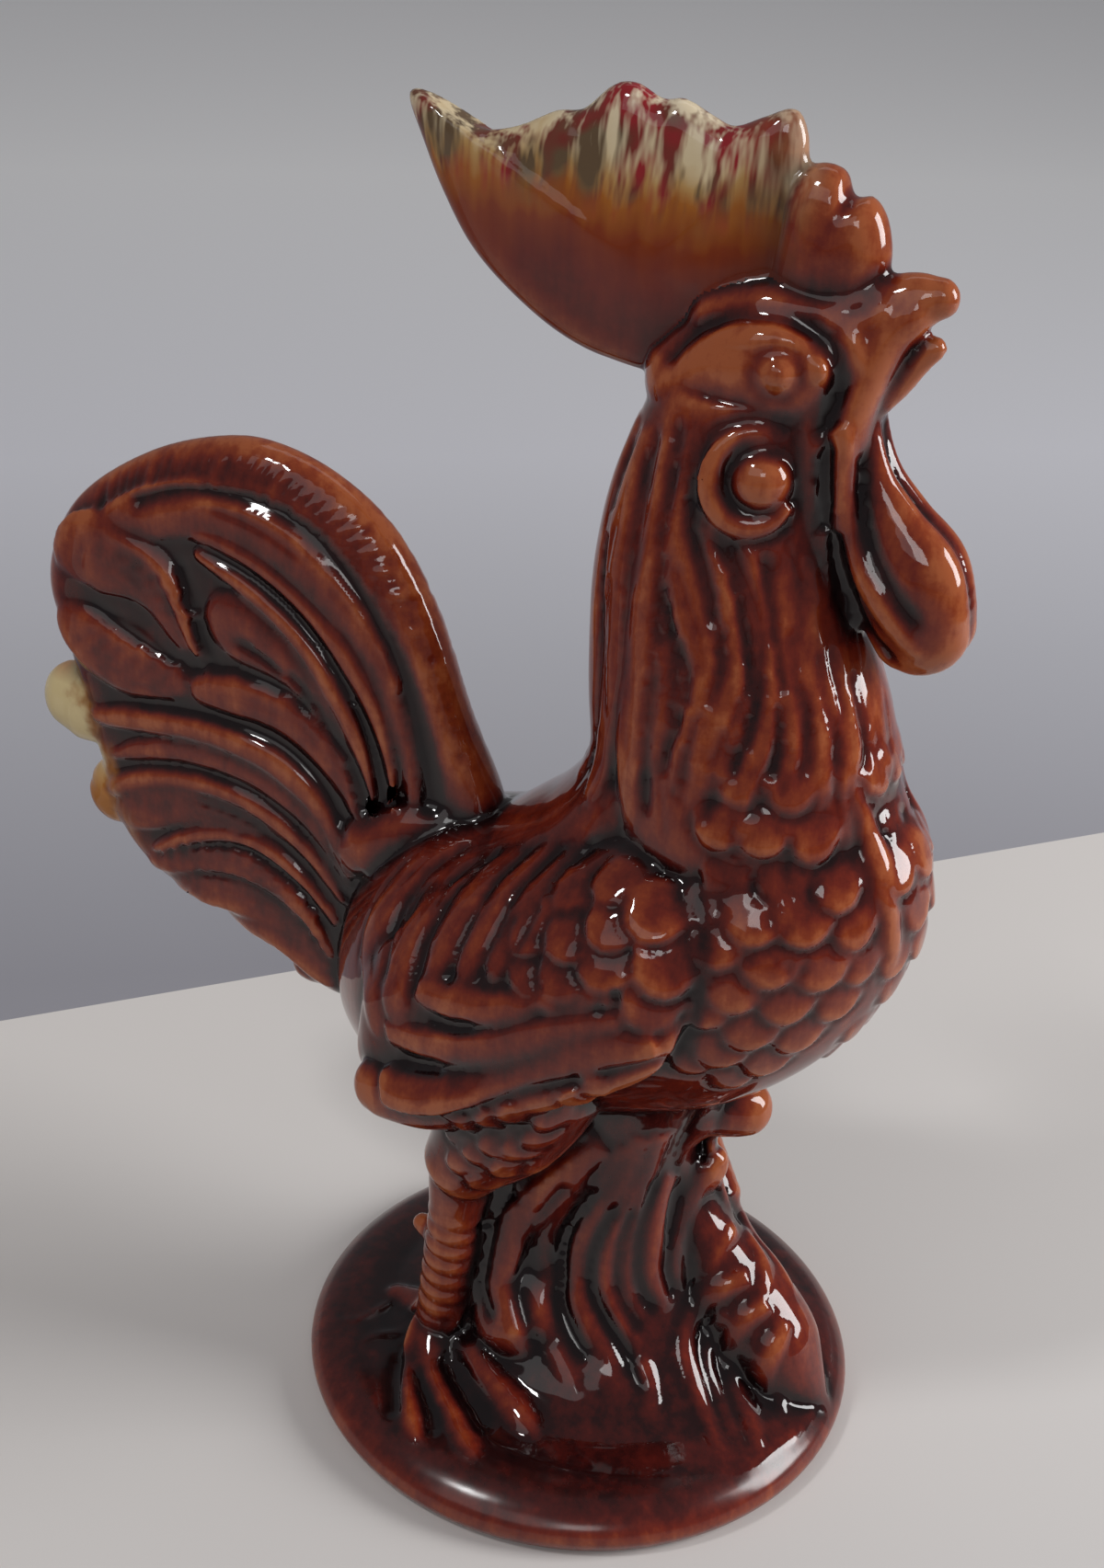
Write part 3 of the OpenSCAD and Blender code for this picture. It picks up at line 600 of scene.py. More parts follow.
def lay(owner, hits, half, rise, lift=0.0, root=0.45, tip=0.3, sink=0.0):
    hits = [h for h in hits if h is not None]
    if len(hits) < 4:
        return
    p, o = (np.array([h[k] for h in hits]) for k in (0, 1))
    for step in range(3):
        p[1:-1] = 0.5 * p[1:-1] + 0.25 * (p[:-2] + p[2:])
        o[1:-1] = unit(0.5 * o[1:-1] + 0.25 * (o[:-2] + o[2:]))
    t = np.linspace(0, 1, len(p))
    uneven = 1 + 0.13 * np.sin(rng.uniform(0, 6.28) + t * rng.uniform(4, 10))
    p = p + o * (lift - sink * t ** 2)[:, None]
    strands.setdefault((owner, rise), []).append((p, o, half * leafShape(t, root, tip) * uneven))


def layBoth(owner, hits, *shape, **ends):
    lay(sided("right", owner), hits, *shape, **ends)
    twins = [None if h is None else onSkin(h[0] * (1, -1, 1)) for h in hits]
    lay(sided("left", owner), twins, *shape, **ends)


def carve(hits, width, depth, both=True, fade=3.0):
    p = np.array([h[0] for h in hits if h is not None])
    if len(p) < 2:
        return
    length = lengthAlong(p)
    s = np.linspace(0, length[-1], max(3, int(length[-1] / 0.45)))
    q = np.stack([np.interp(s, length, p[:, k]) for k in range(3)], -1)
    lifted = np.clip(np.minimum(s, length[-1] - s) / fade, 0.15, 1) if fade else np.ones(len(s))
    for flip in ((1, 1, 1), (1, -1, 1))[:2 if both else 1]:
        grooves.append((q * flip, np.full(len(s), width), depth * lifted))


def carveLines(lines, planeY, count=40):
    for width, depth, line in lines:
        carve(traced(line, planeY, count), width, depth)


# a round feather with the groove of its lower edge
def press(owner, hit, half, fall, both=True):
    if hit is None:
        return
    point, out = hit
    fall = np.array(fall, float)
    down = unit(fall - out * np.dot(fall, out))
    side = np.cross(out, down)
    arc = []
    for a in np.linspace(-1.75, 1.75, 24):
        arc.append((point + half * 1.04 * (math.cos(a) * down * 1.06 + math.sin(a) * side), out))
    carve(arc, 0.9, 0.55, both, fade=2.5)
    scales.setdefault(sided("right", owner), []).append((point, out, fall, half))
    twin = onSkin(point * (1, -1, 1)) if both else None
    if twin is not None:
        scales.setdefault(sided("left", owner), []).append((*twin, fall, half))


# tail, in x and z: half width, rise, lift, then the middle line
tailFeathers = {
    "rim": [(-28, 134), (-36.5, 160), (-50.5, 181.5), (-65.5, 192), (-81, 195.6), (-97, 193), (-111, 186),
        (-122, 175.5), (-127, 164)],
    "feathers": [
        (7.0, 0.22, 0.2, [(-40, 128), (-44.5, 148), (-52, 164), (-62, 175.5), (-76, 183.5), (-92, 185.5),
          (-106, 181.5), (-118, 173)]),
        (2.8, 0.42, 0.9, [(-44.5, 126), (-48.5, 145), (-55.5, 159.5), (-65.5, 170.5), (-78.5, 178),
          (-93, 181)]),
        (2.5, 0.6, 0.8, [(-49, 124), (-53, 141.5), (-59, 153.5), (-68, 164.5), (-80, 172.5), (-92, 177)]),
        (6.8, 0.2, 0.2, [(-54, 130), (-62, 146), (-71, 156.5), (-81, 163), (-89, 166)]),
        (8.2, 0.2, 0.2, [(-93, 156), (-99, 166), (-108, 171), (-118, 171.5), (-127, 167)]),
        (2.0, 0.55, 1.2, [(-91.5, 155), (-94.5, 163), (-98.5, 170), (-104.5, 174.5), (-114, 176.5)]),
        (7.4, 0.22, 0.2, [(-94, 147), (-104, 148.5), (-116, 151), (-127, 156)]),
        (4.9, 0.3, 0.4, [(-50, 121), (-57.5, 136), (-67, 145.5), (-79, 149), (-93, 147)]),
        (3.5, 0.5, 0.5, [(-55, 113), (-61.5, 127), (-73, 136), (-89, 138.3), (-105, 136.3), (-119, 133.5)]),
        (3.2, 0.34, 0.4, [(-56, 110), (-64, 122.5), (-75, 130), (-90, 132), (-104, 129.5), (-114, 125)]),
        (2.8, 0.5, 0.5, [(-57, 106), (-66, 117.8), (-79, 124.6), (-95, 125), (-108, 121), (-117, 115)]),
        (4.8, 0.24, 0.3, [(-66, 111), (-80, 119), (-95, 119), (-108, 113.5), (-117, 106)]),
        (2.4, 0.55, 0.6, [(-59, 100), (-67, 109.5), (-79, 115), (-92, 112.3), (-104, 104.5)]),
        (4.4, 0.26, 0.3, [(-62, 95), (-70, 103.5), (-82, 108), (-95, 105.5), (-107, 100)]),
        (2.3, 0.55, 0.7, [(-60.5, 91), (-66, 100), (-74, 106.3), (-87, 109)]),
        (4.6, 0.24, 0.3, [(-62, 87), (-70, 96), (-82, 99.5), (-94, 97.8), (-105, 95.5)]),
        (3.6, 0.3, 0.3, [(-61, 83), (-70, 89.5), (-80, 93), (-92, 93.5)]),
    ],
    "lines": [
        (2.0, 1.7, [(-37, 132), (-41.5, 150), (-48.5, 167), (-58, 180), (-69, 188.5), (-82, 191.5),
          (-96, 189.5), (-108, 184)]),
        (1.2, 0.9, [(-46.5, 126), (-51, 145), (-57.5, 157.5), (-67, 168), (-79.5, 175.5), (-92, 179)]),
        (1.3, 1.0, [(-52, 126), (-57, 140), (-64, 151), (-74, 158), (-84, 161)]),
        (1.4, 1.3, [(-96, 176), (-94.5, 169), (-90.5, 160), (-88, 154), (-96, 152), (-108, 156),
          (-120, 161)]),
        (1.3, 1.2, [(-49, 127), (-58, 143), (-69, 152), (-80, 154), (-91, 152.5)]),
        (1.2, 1.1, [(-53, 117), (-60, 131), (-70, 139.5), (-84, 142), (-97, 141.5), (-108, 139.5)]),
        (1.1, 0.9, [(-56, 108), (-65, 120.5), (-78, 127.5), (-94, 128.3), (-108, 125), (-120, 121)]),
        (1.0, 0.8, [(-59, 103), (-68, 114), (-80, 120), (-94, 121)]),
        (1.1, 1.0, [(-60, 97), (-68, 107), (-80, 112), (-92, 109.5), (-106, 102)]),
        (1.0, 0.8, [(-62, 90), (-69, 99.5), (-82, 104), (-96, 101.5)]),
    ],
    "barbs": [(2.8, 3.0, 3.6, None, 6, 80), (3.4, 3.4, 6.0, 11, 22, 92), (3.4, 3.0, 5.5, 13, 18, 88),
        (3.2, 3.0, 5.0, 15, 16, 90), (4.0, 4.4, 5.0, 4, 18, 80), (4.0, 4.0, 5.0, 6, 20, 80)],
    "creamLobe": [(-116, 0, 131, 7.5), (-123.5, 0, 132.6, 9.2), (-126.3, 0, 133, 8.6)],
    "lowLobe": [(-110, 0, 115, 7), (-115.5, 0, 114, 7.8), (-117, 0, 112.5, 7.4)],
    "knob": [(-58, 0, 84.5, 5), (-68.5, 0, 83.6, 4.9)], "reach": 9.6,
}


def dressTail():
    t = tailFeathers

    def faceHits(line, side):
        hits = []
        for x, z in line:
            hit = strike((x, side * 60, z), (0, -side, 0))
            clear = hit is not None and abs(hit[0][1]) <= t["reach"]
            hits.append((hit[0], unit(np.array((0, side, 0)) * 2 + hit[1])) if clear else None)
        return hits

    for word, side in flanks:
        for half, rise, lift, line in t["feathers"]:
            hits = faceHits(spline(line, 40), side)
            lay(word + "_tail_feathers", hits, half, rise, lift, root=0.25, tip=0.35)
            path = spline(line, 101)
            across = unit(np.gradient(path, axis=0))[:, ::-1] * (-1, 1)
            for k in range(4 if half > 4 else 0):
                first, far = int(rng.uniform(8, 60)), int(rng.uniform(18, 36))
                part = slice(first, first + far, 3)
                stroke = path[part] + across[part] * half * rng.uniform(-0.6, 0.6)
                hits = raised(faceHits(stroke, side), 1.4)
                carve(hits, 0.6, rng.uniform(0.25, 0.45), both=False, fade=4)
        for width, depth, line in t["lines"]:
            carve(raised(faceHits(spline(line, 60), side), 1.6), width, depth, both=False)
        for gap, reach, slant, which, first, last in t["barbs"]:
            path = spline(t["rim"] if which is None else t["feathers"][which][3], 101)
            above, depth = (0.1, 0.55) if which is None else (1.5, 0.3)
            away = lengthAlong(path)
            for at in np.arange(away[first], away[last], gap):
                k = int(np.searchsorted(away, at))
                along = unit(path[min(k + 1, 100)] - path[k - 1])
                across = np.array((-along[1], along[0]))
                a = path[k] - across * reach - along * slant / 2
                b = path[k] + across * reach + along * slant / 2
                hits = faceHits([a + (b - a) * u for u in np.linspace(0, 1, 8)], side)
                carve(raised(hits, above), 0.85, depth, both=False, fade=2.5)
    for lobe, flat in (("creamLobe", 0.7), ("lowLobe", 0.72), ("knob", 0.9)):
        limb("tail_fan", t[lobe], flat=flat)


# head: what the photograph shows on the middle plane, laid on the near side and mirrored
face = {
    "eye": (21, 232.4), "bump": (28.4, 234.6), "lobe": (18.6, 212.6),
    "brow": [(8, 236.5), (13, 239), (20, 239.8), (26, 238.6)],
    "grooves": [
        (1.5, 1.5, [(-0.5, 229.6), (3.2, 235), (8, 239.4), (16, 241.8), (23.5, 241.8), (28.6, 240.2),
          (31.6, 236.6), (32.4, 232), (31, 227), (30.4, 221)]),
        (1.2, 0.8, [(30, 244), (35.1, 247), (38.4, 251)]),
        (1.4, 1.8, [(31, 224), (32, 214), (34, 206), (37.5, 197), (43.5, 188.5), (50, 183)]),
        (1.1, 0.9, [(37.4, 219), (39.4, 211.4), (42.6, 203.6), (47.6, 196.8), (53, 192)]),
    ],
    "rim": [(33.4, 226), (34.6, 218.5), (36.3, 210.4), (39.5, 201.4), (45.7, 193), (52.4, 186.8)],
}


def dressHead():
    f = face
    layBoth("head", traced(f["brow"], 0, 30), 2.8, 0.26, root=0.5, tip=0.5)
    layBoth("wattle", traced(f["rim"], 0), 2.6, 0.6, root=0.6, tip=0.5)
    carveLines(f["grooves"], 0, 50)
    (eye, eyeOut), bump, (lobe, lobeOut) = (seen(*f[spot], 0) for spot in ("eye", "bump", "lobe"))
    up = unit(np.array((0, 0, 1)) - lobeOut * lobeOut[2])
    across = np.cross(up, lobeOut)

    def lobeArc(radius, angles):
        return [lobe + radius * (math.cos(a) * across + 1.12 * math.sin(a) * up) for a in angles]

    beads = (
        ("eye", eye, eyeOut, 0, ((-3, 3.2), (-1.8, 3.3), (-1.4, 3.0)), 24),
        ("head", *bump, 0, ((-3, 3.2), (-2, 3.2), (-1.6, 3.0)), 24),
        ("ear_lobe", lobe, lobeOut, 1.6, ((-5, 5.8), (-3.6, 6.2), (-2.8, 5.9)), 28),
    )
    crescent = lobeArc(7.6, np.linspace(1.35, 5.8, 30))
    for word, side in flanks:
        flip = np.array((1, -side, 1))
        for owner, point, out, aside, sizes, sides in beads:
            dots = [(*((point + out * k + aside * across) * flip), r) for k, r in sizes]
            limb(sided(word, owner), dots, count=8, sides=sides)
        lay(word + "_ear_lobe", [(c * flip, lobeOut * flip) for c in crescent], 2.3, 0.5, root=0.5, tip=0.6)
    sideways = unit(np.cross(up, eyeOut))
    lift = np.cross(eyeOut, sideways)
    ring = [eye + 4.5 * (math.cos(a) * sideways + math.sin(a) * lift) for a in np.linspace(0, 6.28, 40)]
    carve([(p, eyeOut) for p in ring], 0.8, 0.6, fade=0)
    carve([(p, lobeOut) for p in lobeArc(9.6, np.linspace(0.9, 6.2, 40))], 1.2, 0.7)


# neck hackles: furrows as the photograph shows them, and more behind and in front
hackles = {
    "near": [
        (1.2, 0.7, [(8, 226), (7, 216), (6.5, 208), (6.5, 200), (8, 192), (11, 184), (14, 177), (13, 168),
          (11, 160), (10, 154)]),
        (1.3, 0.7, [(4, 224), (3, 210), (2, 198), (1.5, 185), (2.5, 172), (3, 158)]),
        (1.3, 0.8, [(12, 215), (11, 207), (14, 201), (17, 194), (19, 187), (20, 180), (17, 170), (15, 162),
          (14, 153)]),
        (1.2, 0.8, [(15, 206), (19, 200), (22, 192), (24, 186), (25, 178), (22, 168), (19, 158)]),
        (1.4, 0.9, [(18, 207), (21, 201), (24, 195), (26, 189), (27.5, 182), (27, 172), (25, 163), (21, 153),
          (18, 146)]),
        (1.2, 0.8, [(25, 205), (27, 196), (29, 188), (31, 178), (32, 168), (30, 158), (27, 150)]),
        (1.2, 0.7, [(31, 192), (33, 184), (36, 176), (37, 168), (36, 160)]),
        (1.2, 0.7, [(37, 190), (39, 180), (42, 172), (43, 164)]),
        (1.2, 0.7, [(43, 186), (46, 178), (48, 171), (47, 163)]),
        (1.1, 0.6, [(-1.5, 205), (-2.5, 192), (-2, 178), (-0.5, 164)]),
        (1.0, 0.6, [(9, 200), (12, 192), (15, 184), (16, 176)]),
        (1.0, 0.6, [(6, 184), (8, 174), (7, 164), (6, 156)]), (1.0, 0.5, [(22, 176), (23, 168), (22, 160)]),
        (1.0, 0.5, [(29, 176), (29, 166), (26, 158)]), (1.0, 0.5, [(34, 170), (34, 162), (32, 155)]),
    ],
    "strands": [
        (3.0, [(10, 222), (9, 210), (10, 198), (13, 188), (17, 178), (16, 166), (13, 154)]),
        (3.0, [(5, 222), (4.5, 206), (4.5, 192), (7, 180), (8, 168), (7, 156)]),
        (2.6, [(15, 203), (18, 196), (21, 186), (22.5, 176), (20, 164), (16.5, 152)]),
        (2.6, [(21, 205), (24, 197), (27, 186), (29.5, 175), (28, 162), (23, 148)]),
        (2.6, [(28, 200), (31, 188), (34, 177), (35, 166), (33, 154)]),
        (2.6, [(35, 196), (37, 185), (40, 175), (41, 164), (39, 156)]),
        (2.4, [(41, 190), (44, 180), (46, 171), (46, 162)]),
    ],
    "behind": 7, "strokes": 120, "plane": -10,
    "strokeEnds": ((160, 222), (0, 6.28), (-0.14, 0.14), (9, 20)),
}


def dressNeck():
    h = hackles

    def neckHit(bearing, z):
        return around(bearing, z, ovalAt(neck, z)[0], 46)

    for half, line in h["strands"]:
        layBoth("neck", traced(line, h["plane"]), half, 0.26, root=0.4, tip=0.45)
    carveLines(h["near"], h["plane"], 60)
    for k in range(h["strokes"]):
        z, bearing, lean, far = (rng.uniform(*ends) for ends in h["strokeEnds"])
        hits = []
        for t in np.linspace(0, 1, 8):
            mid, deep, wide = ovalAt(neck, z - far * t)
            hit = neckHit(bearing + lean * t, z - far * t)
            hits.append(hit if hit is not None and abs(hit[0][0] - mid) < deep + 3 else None)
        carve(hits, 0.6, rng.uniform(0.22, 0.42), both=False, fade=4)
    for k in range(h["behind"]):
        a0 = math.radians(122 + 116 * k / (h["behind"] - 1))
        hits, furrow = [], []
        for t in np.linspace(0, 1, 40):
            sway = 0.07 * math.sin(6 * t + k)
            hits.append(neckHit(a0 + sway, 222 - rng.uniform(0, 0.2) + (152 - 222) * t))
            furrow.append(neckHit(a0 + 0.16 + sway, 220 - 66 * t))
        lay("neck", hits, 4.2, 0.24, 0.1, root=0.4, tip=0.4)
        carve(furrow, 1.2, 0.8, both=False)


# breast: round feathers where the photograph shows them, and rows of them down the front
breast = {
    "feathers": [(33, 153, 5.6), (43, 156, 5.6), (52, 157, 5.0), (38, 147, 6.0), (47, 149.5, 6.0),
        (56, 150, 4.8), (32, 140, 5.8), (42, 139, 6.0), (51, 141, 6.0), (58, 143, 4.6), (36, 131.5, 6.0),
        (46, 132, 6.0), (55, 134.5, 5.2), (31, 126, 5.6), (40, 124, 6.0), (49, 125.5, 5.6), (35, 117.5, 5.6),
        (44, 118, 5.4), (38, 164, 5.2), (47, 165, 5.0), (30, 163, 5.0), (29, 147, 4.6), (28, 134, 4.6),
        (33, 172, 4.6), (42, 173, 4.6), (38, 112, 4.6), (30, 113.5, 4.8)],
    "ridge": [(53, 176), (56.5, 168), (60, 160), (62.5, 151), (63.5, 143)],
    "plane": -34, "rows": (166, 157, 148, 139, 130, 121, 112, 104),
}


def dressBreast():
    b = breast
    for x, z, half in b["feathers"]:
        press("body", seen(x, z, b["plane"]), half, (-0.15, 0, -1.0))
    layBoth("body", traced(b["ridge"], b["plane"], 24), 2.6, 0.5)
    for row, z in enumerate(b["rows"]):
        for k in (-1, 0, 1):
            press("body", around((k + 0.5 * (row % 2)) * 0.24, z, 22), 4.6, (0, 0, -1.0), both=False)


# wing: long feathers, coverts, the hollows between them and the saddle hackles that fall over it
wingFeathers = {
    "bands": [
        (5.4, 0.34, [(22, 114.5), (8, 106.5), (-6, 97.5), (-20, 89), (-34, 84)]),
        (3.8, 0.36, [(18, 118.5), (4, 110.5), (-9, 102), (-22, 98), (-33, 98)]),
        (3.4, 0.34, [(13, 122), (0, 116), (-10, 111), (-19, 109.5), (-27, 110)]),
    ],
    "strokes": 5,
    "coverts": [(20, 142, 6.2), (23, 132, 6.8), (21, 123, 6.2), (12, 137, 5.6), (11, 128, 5.6),
        (4, 132, 5.6), (3, 123, 5.4), (12, 146, 5.0), (-4, 130, 4.8), (-4, 121, 4.6), (4, 142, 4.8)],
    "saddle": [
        (4.0, [(-19, 146), (-28, 137), (-35, 124), (-37.5, 110), (-35, 96)]),
        (3.6, [(-13, 147), (-22, 136), (-28.5, 122), (-31.5, 108), (-30, 99)]),
        (3.4, [(-7, 148), (-15, 136), (-21, 122), (-24.5, 108)]),
        (3.4, [(-1, 150), (-9, 138), (-14.5, 124), (-18, 112)]),
        (3.2, [(5, 153), (-3, 141), (-8, 128), (-11.5, 117)]),
        (3.2, [(11, 156), (4, 146), (-1, 136), (-5, 126)]),
    ],
    "lines": [
        (1.7, 1.3, [(-31, 92.5), (-25, 92.5), (-19, 94.5)]),
        (1.6, 1.1, [(-25, 104), (-19, 104), (-13, 106.5)]), (1.4, 1.2, [(9, 116.5), (13, 119.5)]),
        (1.3, 1.0, [(-4, 112.5), (2, 115)]),
        (1.2, 1.0, [(26, 112), (12, 103.5), (-2, 94.5), (-14, 86), (-22, 81)]),
        (1.2, 0.9, [(27, 150), (29.5, 140), (30, 130), (29, 120), (26, 112)]),
        (1.1, 0.7, [(-16, 146), (-25, 137), (-32, 123), (-34.5, 108)]),
        (1.1, 0.8, [(-10, 147), (-18.5, 136), (-25, 122), (-28, 107)]),
        (1.1, 0.7, [(-4, 149), (-12, 137), (-17.8, 123), (-21, 110)]),
        (1.1, 0.8, [(2, 151), (-6, 139), (-11, 126), (-14.5, 115)]),
        (1.0, 0.9, [(8, 154), (0.5, 143), (-4.5, 131), (-8, 121)]),
    ],
    "plane": -34,
}


def dressWings():
    w = wingFeathers
    plane = w["plane"]
    for half, rise, line in w["bands"]:
        layBoth("wing", traced(line, plane), half, rise, 0.3, root=0.6, tip=0.6)
        for k in range(4):
            at, off = rng.uniform(0.05, 0.6), half * rng.uniform(-0.6, 0.6)
            part = spline(line, 41)[int(40 * at):int(40 * at) + 14]
            carve([seen(x, z + off, plane) for x, z in part], 0.6, 0.35, fade=4)
    for half, line in w["saddle"]:
        hits = traced(line, plane)
        hits = [h if h is not None and h[0][1] < -17 and h[0][2] < 141 else None for h in hits]
        layBoth("wing", hits, half, 0.22, root=0.1, tip=0.4)
        for k in range(w["strokes"]):
            first, aside = int(rng.uniform(2, 24)), rng.uniform(-3, 3)
            part = spline(line, 40)[first:first + 14]
            carve([seen(x + aside, z, plane) for x, z in part], 0.6, rng.uniform(0.25, 0.5), fade=4)
    for x, z, half in w["coverts"]:
        press("wing", seen(x, z, plane), half, (-0.35, 0, -1.0))
    carveLines(w["lines"], plane)


# thighs: small feathers; shanks: rings of scutes
thighs = {
    "feathers": [(8, 92, 3.2), (4, 88, 3.8), (-1, 82, 4.4), (-3, 76, 4.2), (-9, 79, 3.8), (-14, 76, 3.6),
        (-7, 71.5, 4.2), (-13, 70, 3.8), (-19, 73, 3.4), (-3, 68.5, 3.6), (-10, 65, 3.8), (-17, 66, 3.4),
        (-22, 69, 3.2), (-15, 59.5, 3.8), (-21, 62, 3.4), (-6, 62.5, 3.2), (-24, 76, 3.2)],
    "rings": 10, "plane": -24,
}


def dressLegs():
    t = thighs
    for x, z, half in t["feathers"]:
        hit = seen(x, z, t["plane"])
        if hit is not None and hit[0][1] < -8:
            press("leg", hit, half, (-0.85, 0, -0.5), both=False)
            twin = onSkin(hit[0] * (-1, -1, 1) + (-2, 0, 0), 6)
            if twin is not None and twin[0][1] > 8:
                scales.setdefault("left_leg", []).append((*twin, np.array((0.85, 0, -0.5)), half))
    for width, depth, line in legs["hollows"]:
        carve([downOn(x, y, 30) for x, y in spline(line, 20)], width, depth, both=False)
    for root in legs["roots"]:
        lay("plinth", [downOn(x, y, 30) for x, y in spline(root, 20)], 0.8, 0.5)
    for word, side in flanks:
        leg = legs[word]
        top, low = np.array(leg["hock"], float), np.array(leg["ankle"], float)
        for toe in leg["toes"]:
            hits = []
            for x, y in spline(toe, 30):
                hit = downOn(x, y, leg["above"])
                reach = math.hypot(x - low[0], y - low[1])
                if reach < 9:
                    hit = np.array((x, y, low[2] + 0.8 - 0.48 * reach)), np.array((0, 0, 1))
                if hit is not None and hit[0][2] > low[2] - 14:
                    hits.append(hit)
            lay(word + "_foot", hits, leg["toe"], 0.5, 0.2, root=1.0, tip=0.25, sink=0.9)
        along = unit(low - top)
        a = unit(np.cross(along, (0, 1, 0)))
        b = np.cross(along, a)
        angle = np.linspace(0, 2 * math.pi, 24)[:, None]
        out = np.cos(angle) * a + np.sin(angle) * b
        for k in range(t["rings"]):
            centre = top + (low - top) * (0.06 + 0.9 * k / (t["rings"] - 1))
            ring = centre + out * (legs["shank"] * 0.97)
            strands.setdefault((word + "_leg", 0.36), []).append((ring, out, np.full(24, 2.0)))


# grass: blades on the side that the photograph shows, then all round
grass = {
    "blades": [
        (3.4, [(10.2, 78.4), (5.7, 72.1), (1.7, 65.1), (-5.5, 54.4), (-7.9, 48.6), (-9.6, 40.5),
          (-11.2, 34.8), (-9.9, 31.7), (-7.5, 26.1), (-5, 19.4), (-3.3, 16.4)]),
        (3.5, [(15.6, 79.7), (11.3, 71.9), (6.3, 63.8), (2.1, 56.4), (0.4, 50.2), (1, 41.3), (0.6, 34.6),
          (1.9, 26.5), (5.1, 20.1), (9.6, 16.1), (13.5, 12.5)]),
        (3.2, [(18.6, 83.8), (15.9, 76.8), (13.4, 68), (8.7, 57.6), (7.2, 50.5), (7.1, 43), (8.2, 36.8),
          (12.9, 29.6), (16.9, 23.7), (20.2, 16.3), (21.1, 12.6)]),
        (3.0, [(20.5, 80), (17.5, 68.9), (14.2, 58.1), (13, 49.6), (13.9, 43.4), (17, 38), (20.8, 34.6),
          (23.3, 29.1), (26.4, 23.5), (30.5, 16.9), (31.8, 10.3)]),
        (2.8, [(22, 86), (19.6, 76), (18.2, 66), (17.4, 57), (17.8, 50), (19.4, 43), (23, 37), (26, 32)]),
        (3.2, [(25, 77.1), (22.1, 66), (22.3, 56.6), (23.5, 50.5), (26.6, 44.5), (29, 39.8), (29.9, 35.2)]),
        (3.0, [(32, 82), (29, 72), (28, 60), (29, 50), (33, 44)]),
        (2.4, [(22.5, 27), (25, 20), (27, 12), (28, 6)]),
        (2.0, [(-14, 48), (-16, 38), (-17, 28), (-16, 21)]), (2.4, [(3, 22), (8, 14), (13, 7)]),
    ],
    "curls": [
        (2.6, [(36.6, 36.9), (29.8, 29.5), (25.5, 20.6), (25.2, 10.8), (29.5, -0.4), (34.6, -11.5),
          (38.5, -18.1)]),
        (2.6, [(41.6, 31.3), (36.7, 23.8), (34.5, 14.8), (36.7, 6.1), (42.2, -2.9), (45.4, -11.5)]),
        (2.4, [(46.3, 27.9), (44.6, 20.8), (43.1, 12.2), (46.2, 7.1), (50.5, 2.5)]),
        (2.0, [(33, 25), (30, 16), (31, 8), (35.5, -2), (40, -12)]),
    ],
    "lines": [
        (1.5, 1.7, [(4, 68), (-1.7, 57), (-4, 49), (-4.6, 41), (-5.4, 34), (-3.2, 26), (0, 19)]),
        (1.4, 1.6, [(9.4, 69), (5.4, 58.5), (3.8, 50), (4, 42), (4.2, 35), (7, 28), (11.5, 21)]),
        (1.3, 1.5, [(15, 67), (11.5, 57.5), (10.1, 50), (10.5, 43), (12.5, 37), (16.5, 31), (20.5, 25),
          (24.5, 17)]),
        (1.2, 1.3, [(18.2, 68), (15.8, 58), (15.3, 50), (16.4, 43), (19.6, 38), (23.4, 34)]),
        (1.4, 1.5, [(22, 76), (20.2, 64), (20, 54), (21.4, 47), (25, 40)]),
        (1.8, 1.6, [(-14, 52), (-14, 42), (-14, 31), (-11, 22)]),
        (1.4, 1.2, [(26, 76), (25.5, 64), (25.5, 54), (29, 46)]),
    ],
    "round": 13, "half": 3.8, "plane": -24,
}


def dressGrass():
    g = grass
    plane = g["plane"]
    for half, line in g["blades"]:
        lay("grass_tuft", traced(line, plane), half * 1.14, 0.3, 0.1, root=0.7, tip=0.7, sink=1.9)
    for half, line in g["curls"]:
        lay("grass_tuft", traced(line, 0), half, 0.42, 0.1, root=0.8, tip=0.45, sink=0.8)
    for width, depth, line in g["lines"]:
        carve(traced(line, plane), width, 0.8 * depth, both=False)
    for k in range(g["round"]):
        a0 = math.radians(-8 + 205 * k / (g["round"] - 1)) + rng.uniform(-0.05, 0.05)
        low = rng.uniform(15, 21)
        hits = []
        for t in np.linspace(0, 1, 34):
            z = 90 + (low - 90) * t
            hit = around(a0 + 0.4 * t - 0.08 * math.sin(6 * t + k), z, 6)
            mid, length, width = stationAt(tuft["stations"], z)
            if hit is not None and math.hypot((hit[0][0] - mid) / length, hit[0][1] / width) < 1.25:
                hits.append(hit)
        lay("grass_tuft", hits, g["half"], 0.36, 0.1, root=0.7, tip=0.5, sink=0.9)


for dress in (dressTail, dressHead, dressNeck, dressBreast, dressWings, dressLegs, dressGrass):
    dress()
print("strands:", sum(map(len, strands.values())), "pressed feathers:", sum(map(len, scales.values())))

wetClay = bpy.data.materials.new("wetClay")
rolled, pressed = strandTree(), scaleTree()
relief = {"Rise": 0.13, "Length": 1.1, "Tilt": 0.1}


def grow(owner, tree, mesh, values):
    result = made(mesh, "NODES", {**values, "Glaze": wetClay}, node_group=tree)
    co = readMesh(result.vertices, "co", np.float32, 3).astype(float)
    clay.append((owner, co, [list(p.vertices) for p in result.polygons]))


